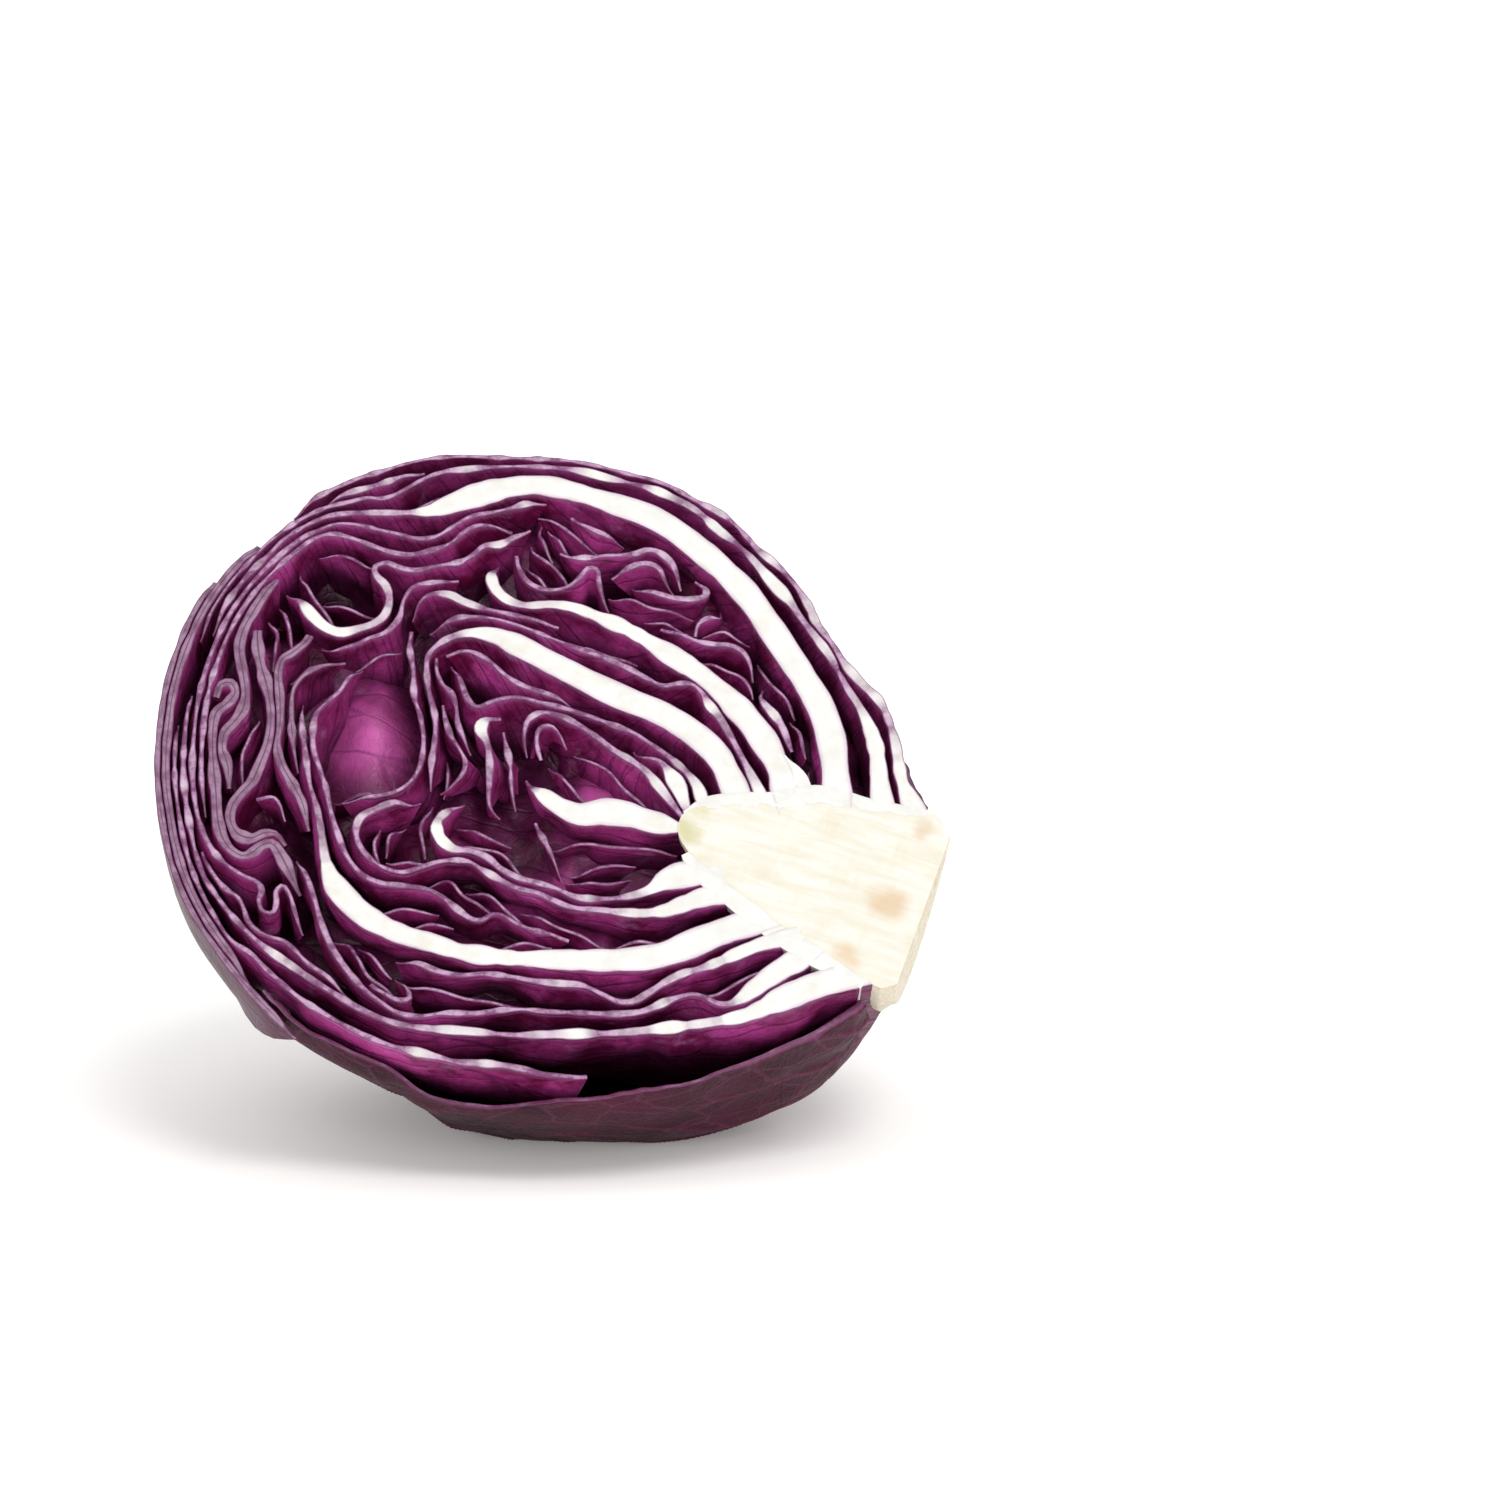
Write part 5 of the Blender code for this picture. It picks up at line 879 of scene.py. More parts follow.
def leaf_surfaces(line, back, slant, sink, rooted):
    """A cut leaf's two faces, carried back behind the cut; its free ends draw back by slant."""
    mid, half = leaf_section(line)
    radius = np.linalg.norm(mid, axis=1)
    width = 2 * np.linalg.norm(half, axis=1)
    rel = radius / lookup(OUTLINE, np.degrees(np.arctan2(mid[:, 1], mid[:, 0])))
    thinnest = np.minimum(width, LAMINA)
    most = SLANT_MOST if slant > END_SLANT else END_MOST
    long = len(line) - 1
    faces = ([], [])
    for k in range(ROWS + 1):
        t = back * (k / ROWS) ** ROW_POWER
        w = thinnest + (width - thinnest) * np.exp(-(radius * math.sin(t) / RIB_KEEP) ** 2)
        h = half * (w / width)[:, None]
        pair = (place(mid + h, t), place(mid - h, t))
        sway = wave((pair[0] + pair[1]) / 2, rel)
        end = long * (1.0 - min(most, slant * t / (STEP * long)))
        start = 0.0 if rooted else long * min(END_MOST, min(slant, END_SLANT) * t / (STEP * long))
        at = np.linspace(start, end, len(line))
        for face, points in zip(faces, pair):
            face.append(slide(points + sway, at) - sink[:, None] * N)
    return [np.array(face).transpose(1, 0, 2) for face in faces]


def build_leaves(skin, flesh):
    lines = {}
    rng = np.random.default_rng(VEIN_SEED)
    for name, back, rows in LEAVES:
        points = expand(rows)
        if name in ROOTED:
            step = points[0] - points[1]
            step[2] = 0.0
            first = points[0] + step * ROOT_RUN / np.linalg.norm(step[:2])
            points = np.vstack((first, points))
        line = smooth(points)
        swell_veins(line, rng)
        if name in ROOTED:
            swell_root(line)
        if name in FULLER:
            share = FULLER_LEAST + (1.0 - FULLER_LEAST) * line[:, 2]
            line[:, 2] = np.maximum(line[:, 2], FULLER[name] * share)
        lines[name] = line
    limit_thickness(lines)
    for line in lines.values():
        taper_tip(line)
    for k, (name, back, rows) in enumerate(LEAVES):
        rooted = name in ROOTED
        sink = tip_sink(len(lines[name]), rooted)
        slant = SLANTS.get(name, END_SLANT)
        outer, inner = leaf_surfaces(lines[name], math.radians(back), slant, sink, rooted)
        piece = leaf_mesh("look_" + name, outer, inner, [skin, flesh], TINTS.get(name, TINT), seed=k)
        finish_piece(piece, "leaf_" + name)
    build_folds(lines, skin, flesh)


def inside_core(point):
    """Whether a point of the cut plane lies within the core's cut face."""
    x, y = point
    inside = False
    for (x0, y0), (x1, y1) in zip(CORE, CORE[1:] + CORE[:1]):
        if (y0 > y) != (y1 > y) and x < x0 + (y - y0) * (x1 - x0) / (y1 - y0):
            inside = not inside
    return inside


def room_beside(taken, point):
    """How far a point of the cut plane is from the leaf at each sample."""
    return np.linalg.norm(taken[:, :2] - point, axis=1) - taken[:, 2] / 2


def fold_path(start, heading, numbers, taken, runs):
    """A fold's way out to both sides of its start, beside its neighbours and clear of them."""
    length = FOLD_LENGTH[0] + (FOLD_LENGTH[1] - FOLD_LENGTH[0]) * numbers[1]
    curl = (numbers[2] - 0.5) * FOLD_CURL
    halves = []
    for way in (0.0, math.pi):
        at, half = start.copy(), []
        angle = heading + way
        for k in range(int(length / 2 / STEP)):
            swing = curl * math.sin(FOLD_BEAT * k + FOLD_PHASE * numbers[3])
            angle += swing + (numbers[4] - 0.5) * FOLD_DRIFT
            beside = runs[room_beside(taken, at).argmin()]
            off = math.atan2(beside[1], beside[0]) - angle
            angle += FOLD_FOLLOW * math.atan2(math.sin(2 * off), math.cos(2 * off)) / 2
            at = at + STEP * np.array((math.cos(angle), math.sin(angle)))
            if room_beside(taken, at).min() < FOLD_ROOM or inside_core(at):
                break
            half.append(at)
        halves.append(half)
    return halves[1][::-1] + [start] + halves[0]


def build_folds(lines, skin, flesh):
    """Small folds of inner leaves that fill the wide gaps, each running beside its neighbours."""
    rng = np.random.default_rng(FOLD_SEED)
    taken = np.vstack(list(lines.values()))
    runs = np.vstack([np.gradient(line[:, :2], axis=0) for line in lines.values()])
    made = 0
    for _ in range(FOLD_TRIES):
        turn, reach = rng.uniform(0.0, 2 * math.pi), rng.uniform(0.0, 1.0) ** 0.5
        degrees = math.degrees(turn)
        reach *= float(lookup(BACKING_SHARES, degrees) * lookup(OUTLINE, degrees))
        start = np.array((math.cos(turn), math.sin(turn))) * reach
        numbers = rng.uniform(0.0, 1.0, 6)
        clear = room_beside(taken, start)
        if clear.min() < FOLD_START_ROOM or made == FOLD_COUNT or inside_core(start):
            continue
        if any(abs(start[0] - x) < w and abs(start[1] - y) < h for (x, y), (w, h) in FOLD_FREE):
            continue
        run = runs[clear.argmin()]
        heading = math.atan2(run[1], run[0]) + (numbers[0] - 0.5) * FOLD_STRAY
        path = fold_path(start, heading, numbers, taken, runs)
        if len(path) < FOLD_LEAST:
            continue
        line = np.column_stack((np.array(path), np.full(len(path), FOLD_THICK)))
        from_end = np.minimum(np.arange(len(path)), np.arange(len(path))[::-1])
        line[:, 2] *= FOLD_TIP + (1.0 - FOLD_TIP) * ease(from_end / FOLD_TIP_RUN)
        taken = np.vstack((taken, line))
        runs = np.vstack((runs, np.gradient(line[:, :2], axis=0)))
        deep = FOLD_DEEP[0] + (FOLD_DEEP[1] - FOLD_DEEP[0]) * numbers[5]
        outer, inner = leaf_surfaces(line, FOLD_BACK, FOLD_SLANT, deep + tip_sink(len(line), False), False)
        made += 1
        piece = leaf_mesh("look_fold_%d" % made, outer, inner, [skin, flesh], seed=FOLD_NOISE + made)
        finish_piece(piece, None)


def build_webs(flesh):
    """Flesh where ribs have grown together and into the core."""
    for k, (name, rows) in enumerate(WEBS):
        line = smooth(np.array(rows, dtype=float))
        q = np.column_stack((line[:, :2], np.zeros(len(line))))
        line[:, 2] += add_noise(q, WEB_NOISE, k) * ease(line[:, 2] / WEB_SMOOTH)
        mid, half = leaf_section(line)
        outer, inner = [], []
        for j in range(WEB_LEVELS):
            side = half * (1 - WEB_SHRINK * j)
            outer.append(place(mid + side, math.radians(j)))
            inner.append(place(mid - side, math.radians(j)))
        outer, inner = np.array(outer).transpose(1, 0, 2), np.array(inner).transpose(1, 0, 2)
        piece = leaf_mesh("look_" + name, outer, inner, [flesh, flesh], TINT, WEB_PROUD + WEB_PROUDER * k,
                          WEB_SEED + k, False)
        finish_piece(piece, None)


def near_to(a, b, spot, sizes):
    """1 at a spot of the cut plane, fading out over its half sizes."""
    return np.exp(-((a - spot[0]) / sizes[0]) ** 2 - ((b - spot[1]) / sizes[1]) ** 2)


def build_backing(skin):
    """Leaves seen from their face in the pockets between the cut edges."""
    steps = np.arange(-BACKING_HALF, BACKING_HALF, BACKING_STEP)
    a, b = np.meshgrid(steps, steps, indexing="ij")
    round_it = np.degrees(np.arctan2(b, a))
    keep = lookup(BACKING_SHARES, round_it) * lookup(OUTLINE, round_it)
    far = np.hypot(a, b)
    squeeze = np.minimum(1.0, keep / np.maximum(far, 1e-6))
    a, b = a * squeeze, b * squeeze
    flat = np.stack((a, b, 0 * a), axis=-1)
    deep = add_noise(flat, BACKING_NOISE, base=BACKING_DEEP)
    for spot, sizes, want in BACKING:
        deep = deep + (want - deep) * near_to(a, b, spot, sizes)
    deep = add_noise(flat, BACKING_FINE, base=deep)
    over = CENTRE + a[..., None] * A + b[..., None] * B - deep[..., None] * N
    under = over - BACKING_THICK * N
    count = len(steps) ** 2
    verts = np.vstack((over.reshape(-1, 3), under.reshape(-1, 3)))
    index = np.arange(count).reshape(len(steps), len(steps))
    cell_far = far[:-1, :-1] * 0.25 + far[1:, 1:] * 0.25 + far[1:, :-1] * 0.25 + far[:-1, 1:] * 0.25
    inside = cell_far < keep[:-1, :-1]
    top = np.stack((index[:-1, :-1], index[1:, :-1], index[1:, 1:], index[:-1, 1:]), axis=-1)[inside]
    edges = [edge for quad in top.tolist() for edge in zip(quad, quad[1:] + quad[:1])]
    known = set(edges)
    sides = [(q, p, p + count, q + count) for p, q in edges if (q, p) not in known]
    quads = np.vstack((top, top[:, ::-1] + count, sides))
    used = np.unique(quads)
    renumber = np.zeros(2 * count, dtype=int)
    renumber[used] = np.arange(len(used))
    verts = verts[used]
    off = verts - CENTRE
    q = local(verts)
    blush = sum(near_to(q[:, 0], q[:, 1], spot, sizes) for spot, sizes in BLUSH)
    marks = {"tint": np.full(len(verts), TINT), "deep": q[:, 2], "outside": 0 * blush, "blush": blush,
             "along": off @ STEM, "across": off @ ACROSS}
    piece = build_mesh("look_inner_faces", verts, renumber[quads].tolist(), [0] * len(quads), marks, [skin])
    finish_piece(piece, None)


def wrapper_angles(psi, phi):
    """Turn the wrapper's own angles, from the stem and round it, into theta and t."""
    u = (np.cos(psi)[..., None] * STEM
         + np.sin(psi)[..., None] * (-np.cos(phi)[..., None] * ACROSS - np.sin(phi)[..., None] * N))
    t = np.arcsin(np.clip(-(u @ N), -1.0, 1.0))
    theta = np.arctan2(u @ B, u @ A)
    return theta, t


def edge_share(n, m):
    """How near a grid's points are to its long edges and its far end, 1 right at them."""
    i, j = np.meshgrid(np.linspace(0, 1, n), np.linspace(0, 1, m), indexing="ij")
    return np.clip(1.0 - np.minimum(np.minimum(j, 1 - j), 1 - i) / EDGE_SHARE, 0.0, 1.0)


def wrapper_place(psi, phi):
    """Where a wrapper's points lie: along from the stem and round it, in mm."""
    return psi * BACK_R, phi * np.sin(psi) * BACK_R


def ridges(psi, phi, middle, seed):
    """Height of a wrapper's raised midrib and side veins."""
    along, across = wrapper_place(psi, phi - middle)
    q = np.stack((along, across, 0 * along), axis=-1)
    across = add_noise(q, MIDRIB_SWAY, seed, across)
    wide = MIDRIB_WIDE + MIDRIB_WIDER * np.clip((MIDRIB_NARROW - psi) / MIDRIB_SPAN, 0.0, 1.0)
    high = MIDRIB * np.exp(-(across / wide) ** 2) * np.clip((MIDRIB_END - psi) / MIDRIB_FADE, 0.0, 1.0)
    side = add_noise(q, SIDE_VEIN_SWAY, seed, along - SIDE_VEIN_LEAN * np.abs(across))
    near = np.abs((side + SIDE_VEIN_EVERY / 2) % SIDE_VEIN_EVERY - SIDE_VEIN_EVERY / 2)
    fade = np.clip((SIDE_VEIN_REACH - np.abs(across)) / SIDE_VEIN_FADE, SIDE_VEIN_LEAST, 1.0)
    return np.maximum(high, SIDE_VEIN * fade * np.exp(-(near / SIDE_VEIN_WIDE) ** 2))


def folds(psi, phi, seed):
    """Broad shallow folds that run out from the stem, and small dents."""
    along, across = wrapper_place(psi, phi)
    long_way = np.stack((along * FOLDS_LONG, across, 0 * along), axis=-1)
    both = np.stack((along, across, 0 * along), axis=-1)
    return add_noise(both, DENTS, seed, add_noise(long_way, FOLDS, seed))


def wrapper_mesh(node, psi, phi, radius, outwards, veins, materials):
    """A closed wrapper leaf with its outer face at radius, or its inner one if it grows outwards."""
    theta, t = wrapper_angles(psi, phi)
    n, m = psi.shape
    count = n * m
    edge = edge_share(n, m)
    thick = WRAP_THICK + (ROOT_THICK - WRAP_THICK) * ease((ROOT_THIN - psi) / ROOT_TAPER)
    thick = thick * (1.0 - EDGE_THIN * edge)
    middle, vein_seed, fold_seed = veins
    high = ridges(psi, phi, middle, vein_seed)
    outer = radius + thick if outwards else radius
    outer = outer + (high + folds(psi, phi, fold_seed)) * (1.0 - edge)
    sides = []
    for rho, least in zip((outer, outer - thick), WRAP_FLOOR):
        side = place_polar(theta, t, rho)
        side[..., 2] = np.maximum(side[..., 2], least)
        sides.append(side.reshape(-1, 3))
    quads = [grid_faces(n, m, 0, False), grid_faces(n, m, count, True)]
    for i, flip in ((0, False), (n - 1, True)):
        quads.append(strip_faces(i * m + np.arange(m), count + i * m + np.arange(m), flip))
    for j, flip in ((0, True), (m - 1, False)):
        quads.append(strip_faces(np.arange(n) * m + j, count + np.arange(n) * m + j, flip))
    kinds = [0] * (2 * (n - 1) * (m - 1)) + [1] * (2 * (m - 1) + 2 * (n - 1))
    along, across = wrapper_place(psi, phi)
    marks = {
        "rim": np.zeros(2 * count),
        "thick": np.full(2 * count, 1.0),
        "tint": np.full(2 * count, WRAP_TINT),
        "along": np.tile(along.ravel(), 2),
        "across": np.tile(across.ravel(), 2),
        "edge": np.tile(edge.ravel(), 2),
        "ridge": np.tile(np.clip(high, 0.0, 1.0).ravel(), 2),
    }
    piece = build_mesh("look_" + node, np.vstack(sides), np.vstack(quads).tolist(), kinds, marks, materials)
    finish_piece(piece, node)


def build_lower_wrapper(skin, flesh):
    """The lower wrapper carries the flat spot, and its near edge is the ragged margin seen in the photo."""
    n, m = LOWER_GRID
    last = len(LOWER_EDGE) - 1
    starts = np.interp(np.linspace(0, last, n), np.arange(last + 1), LOWER_EDGE)
    q = np.column_stack((np.arange(n) * 1.0, np.zeros(n), np.zeros(n)))
    starts = starts + np.sign(LOWER_FAR - starts) * TORN_MARGIN * add_noise(q, TORN_NOISE, base=TORN_MIDDLE)
    share = np.linspace(0, 1, m) ** LOWER_POWER
    phi = np.radians(starts[:, None] + (LOWER_FAR - starts[:, None]) * share[None, :])
    far = math.pi / 2 + np.arctan(np.cos(phi) / abs(math.tan(STEM_ANGLE - TUCK_EDGE)))
    psi = ROOT_FROM + (far - ROOT_FROM) * np.linspace(0, 1, n)[:, None]
    outer = lower_radius(*wrapper_angles(psi, phi))
    wrapper_mesh("wrapper_lower", psi, phi, outer, False, LOWER_VEINS, [skin, flesh])


def build_upper_wrapper(skin, flesh):
    """The upper wrapper laps over the lower one and over the outermost cut leaves."""
    n, m = UPPER_GRID
    rows = np.linspace(UPPER_ROWS[0], UPPER_ROWS[-1], n)
    near = np.interp(rows, UPPER_ROWS, UPPER_EDGE)
    far = np.interp(rows, UPPER_ROWS, UPPER_FAR)
    phi = np.radians(near[:, None] + (far - near)[:, None] * np.linspace(0, 1, m)[None, :])
    psi = np.radians(np.repeat(rows[:, None], m, axis=1))
    theta, t = wrapper_angles(psi, phi)
    over = ease((LAP_UNTIL - phi) / LAP_RUN)
    inner = np.maximum(head_radius(theta, t), lower_radius(theta, t) * over) + UPPER_CLEAR
    wrapper_mesh("wrapper_upper", psi, phi, inner, True, UPPER_VEINS, [skin, flesh])


def build_core(face_material, bark):
    """The core's half: its traced cut face, rounded off behind by half ellipses across the stem."""
    sine, cosine = math.sin(STEM_ANGLE), math.cos(STEM_ANGLE)
    pts = [(a * cosine + b * sine, -a * sine + b * cosine) for a, b in CORE]
    upper = sorted(p for p in pts[:CORE_UPPER] if p[0] < CORE_CORNER)
    lower = sorted(pts[CORE_LOWER:] + [pts[0]])
    first = max(upper[0][0], lower[0][0]) + CORE_BLUNT
    steps = np.linspace(0, 1, CORE_ROWS) ** CORE_POWER
    butt = [CORE_EDGE + CORE_BEVEL, CORE_CORNER, CORE_BUTT]
    stations = np.concatenate((first + (CORE_EDGE - first) * steps, butt))
    across = np.linspace(0, 1, CORE_COLS)
    arc = np.radians(np.linspace(180, 0, CORE_ARC))[1:-1]
    rows, rim = [], []
    for s in stations:
        hi, lo = [float(np.interp(s, *zip(*side))) for side in (upper, lower)]
        shrink = 1.0
        if s > CORE_EDGE:
            part = (s - CORE_EDGE) / (CORE_BUTT - CORE_EDGE)
            hi = hi + (BUTT_SIDES[0] - hi) * part
            lo = lo + (BUTT_SIDES[1] - lo) * part
            shrink = 1.0 + (BUTT_SHRINK - 1.0) * part
        half = (hi - lo) / 2
        deep = half * shrink * (1.0 + DEEPER * ease((s - DEEPER_FROM) / DEEPER_RUN))
        flat = CENTRE + s * STEM + (lo + (hi - lo) * across)[:, None] * ACROSS
        side = np.minimum(across, 1 - across) * (hi - lo)
        lift = CORE_PROUD * ease(side / FACE_RUN) + add_noise(flat, FACE_NOISE) * ease(side / FACE_RUN)
        flat = flat + lift[:, None] * N
        back = (CENTRE + s * STEM + ((hi + lo) / 2 - half * np.cos(arc))[:, None] * ACROSS
                - deep * np.sin(arc)[:, None] * N)
        back = back + (add_noise(back, BACK_NOISE) * np.sin(arc))[:, None] * N
        rows.append(np.vstack((flat, back)))
        rim.append(np.concatenate((side, 0 * arc)))
    rows = np.array(rows)
    n, m = rows.shape[:2]
    verts = rows.reshape(-1, 3)
    wrap = np.arange(n)[:, None] * m + np.append(np.arange(m), 0)[None, :]
    bands = [strip_faces(r0, r1, False)[:, [0, 3, 2, 1]] for r0, r1 in zip(wrap, wrap[1:])]
    faces = np.vstack(bands).tolist()
    kinds = ([0] * (CORE_COLS - 1) + [1] * (m - CORE_COLS + 1)) * (n - 1)
    last = wrap[-1][:-1]
    middle = verts[last].mean(axis=0) - BUTT_HOLLOW * STEM
    rings = [middle + (verts[last] - middle) * k for k in BUTT_RINGS]
    for ring in rings:
        now = len(verts) + np.arange(m)
        verts = np.vstack((verts, ring + add_noise(ring, BUTT_NOISE)[:, None] * STEM))
        faces += np.stack((last, now, np.roll(now, -1), np.roll(last, -1)), axis=1).tolist()
        kinds += [1] * m
        last = now
    faces += [last.tolist(), wrap[0][:-1][::-1].tolist()]
    kinds += [1, 1]
    off = verts - CENTRE
    rim = np.concatenate(rim + [np.zeros(len(verts) - n * m)])
    marks = {"rim": rim, "along": off @ STEM, "across": off @ ACROSS}
    finish_piece(build_mesh("look_core", verts, faces, kinds, marks, [face_material, bark]), "core")


def linear(red, green, blue):
    """A colour given as 0 to 255 on screen, made linear."""
    out = []
    for c in (red, green, blue):
        c = c / 255.0
        out.append(c / 12.92 if c <= 0.04045 else ((c + 0.055) / 1.055) ** 2.4)
    return (*out, 1.0)


class Nodes:
    """Short calls for wiring a material's nodes."""

    def __init__(self, name):
        self.material = bpy.data.materials.new(name)
        self.material.use_nodes = True
        self.tree = self.material.node_tree
        self.shader = self.tree.nodes["Principled BSDF"]
        where = self.add("ShaderNodeTexCoord")
        self.place = self.vector_math("MULTIPLY", where.outputs["Object"], (1.0 / MM,) * 3)["Vector"]

    def add(self, kind, **inputs):
        node = self.tree.nodes.new(kind)
        for name, value in inputs.items():
            node.inputs[name].default_value = value
        return node

    def link(self, source, target):
        self.tree.links.new(source, target)

    def put(self, value, socket):
        if hasattr(value, "links"):
            self.link(value, socket)
        else:
            socket.default_value = value

    def operate(self, kind, how, values):
        node = self.add(kind)
        node.operation = how
        for value, socket in zip(values, node.inputs):
            self.put(value, socket)
        return node.outputs

    def math(self, how, *values):
        return self.operate("ShaderNodeMath", how, values)["Value"]

    def vector_math(self, how, *values):
        return self.operate("ShaderNodeVectorMath", how, values)

    def times(self, one, other):
        return self.math("MULTIPLY", one, other)

    def mark(self, name):
        node = self.add("ShaderNodeAttribute")
        node.attribute_name = name
        return node.outputs["Fac"]

    def noise(self, length, detail=3.0, rough=0.55, place=None, twist=0.0):
        node = self.add("ShaderNodeTexNoise", Scale=1.0 / length, Detail=detail, Roughness=rough,
                        Distortion=twist)
        self.link(place or self.place, node.inputs["Vector"])
        return node.outputs["Fac"]

    def cells(self, length, place):
        node = self.add("ShaderNodeTexVoronoi")
        node.feature = "DISTANCE_TO_EDGE"
        node.inputs["Scale"].default_value = 1.0 / length
        self.link(place, node.inputs["Vector"])
        return node.outputs["Distance"]

    def span(self, value, low, high, smooth=True):
        """Map low..high to 0..1."""
        node = self.add("ShaderNodeMapRange")
        if smooth:
            node.interpolation_type = "SMOOTHSTEP"
        self.put(value, node.inputs["Value"])
        self.put(low, node.inputs["From Min"])
        self.put(high, node.inputs["From Max"])
        return node.outputs["Result"]

    def fall(self, value, low, high, smooth=True):
        """Map low..high to 1..0."""
        return self.math("SUBTRACT", 1.0, self.span(value, low, high, smooth))

    def mix(self, share, one, other):
        node = self.add("ShaderNodeMix")
        node.data_type = "RGBA"
        self.put(share, node.inputs["Factor"])
        self.put(one, node.inputs["A"])
        self.put(other, node.inputs["B"])
        return node.outputs["Result"]

    def cloudy(self, value, low, high, name):
        """A colour between a pair of COLOURS, by where value lies between low and high."""
        first, second = COLOURS[name]
        return self.mix(self.span(value, low, high), linear(*first), linear(*second))

    def layer(self, under, share, much, name):
        """Lay one of COLOURS over another colour, by share times much."""
        return self.mix(self.times(share, much), under, linear(*COLOURS[name]))

    def vector(self, x, y, z=0.0):
        node = self.add("ShaderNodeCombineXYZ")
        self.put(x, node.inputs[0])
        self.put(y, node.inputs[1])
        self.put(z, node.inputs[2])
        return node.outputs[0]

    def bend(self, place, length, much):
        """Move a place about a little, so that lines waver."""
        node = self.add("ShaderNodeTexNoise", Scale=1.0 / length)
        self.link(place, node.inputs["Vector"])
        less = self.vector_math("SUBTRACT", node.outputs["Color"], (0.5, 0.5, 0.5))["Vector"]
        return self.vector_math("MULTIPLY_ADD", less, (much, much, much), place)["Vector"]

    def bump(self, height, distance, strength, under=None):
        node = self.add("ShaderNodeBump", Distance=distance * MM, Strength=strength)
        self.link(height, node.inputs["Height"])
        if under:
            self.link(under, node.inputs["Normal"])
        return node.outputs["Normal"]

    def finish(self, colour, rough, normal, soft, radius=(1.0, 0.4, 0.7), shine=0.4):
        inputs = self.shader.inputs
        self.put(colour, inputs["Base Color"])
        self.put(rough, inputs["Roughness"])
        self.link(normal, inputs["Normal"])
        inputs["Specular IOR Level"].default_value = shine
        inputs["Subsurface Weight"].default_value = soft
        inputs["Subsurface Radius"].default_value = radius
        inputs["Subsurface Scale"].default_value = SOFT_DEEP * MM
        return self.material


def skin_material():
    """Leaf skin: wine purple to lit magenta, with fine darker and lighter veins."""
    n = Nodes("leaf_skin")
    long_way = n.bend(n.vector(n.times(n.mark("along"), 0.30), n.mark("across")), 14.0, 5.0)
    vein = n.fall(n.cells(7.0, long_way), 0.0, 0.07)
    small = n.fall(n.cells(2.8, n.bend(n.place, 5.0, 2.0)), 0.0, 0.10)
    cloud = n.noise(13.0, 4.0, 0.6)
    speck = n.noise(2.0, 3.0, 0.6)
    deep, outside, blush, tint = n.mark("deep"), n.mark("outside"), n.mark("blush"), n.mark("tint")
    within = n.math("SUBTRACT", 1.0, outside)
    colour = n.cloudy(cloud, 0.36, 0.64, "skin")
    colour = n.layer(colour, n.span(speck, 0.3, 0.7), 0.30, "skin speck")
    colour = n.layer(colour, n.span(n.noise(9.0, 4.0, 0.65, None, 0.5), 0.58, 0.76), 0.50, "skin pale")
    colour = n.layer(colour, vein, 0.42, "skin vein")
    colour = n.layer(colour, small, 0.14, "skin net")
    # Painted light: skin in the first 2 mm behind the cut turns paler lilac, where light reaches into the
    # gaps; not on the head's outside.
    colour = n.layer(colour, n.times(n.fall(deep, 0.0, 2.0), within), 0.34, "skin painted light near the cut")
    colour = n.layer(colour, blush, 0.55, "skin blush")
    colour = n.layer(colour, n.times(vein, blush), 0.4, "skin blush vein")
    # Painted shade: the skin darkens towards near black the deeper it lies behind the cut, less so in the
    # pinker spots and not on the head's outside.
    depth = n.times(n.span(deep, 3.0, 13.5), n.times(within, 0.88))
    colour = n.layer(colour, depth, n.math("MULTIPLY_ADD", blush, -0.85, 1.0), "skin painted deep shade")
    colour = n.layer(colour, n.fall(tint, 0.0, TINT, smooth=False), 1.0, "skin dark")
    dusty = n.span(tint, 0.92, 1.0, smooth=False)
    colour = n.mix(dusty, colour, n.cloudy(cloud, 0.34, 0.66, "skin dusky"))
    colour = n.layer(colour, outside, 0.50, "skin outside")
    ridge = n.math("ADD", n.times(vein, -0.7), n.times(small, -0.25))
    normal = n.bump(speck, 0.35, 0.5, n.bump(ridge, 0.28, 0.7))
    rough = n.math("MULTIPLY_ADD", n.noise(7.0), 0.22, 0.26)
    return n.finish(colour, rough, normal, 0.12, (1.0, 0.25, 0.7), 0.2)


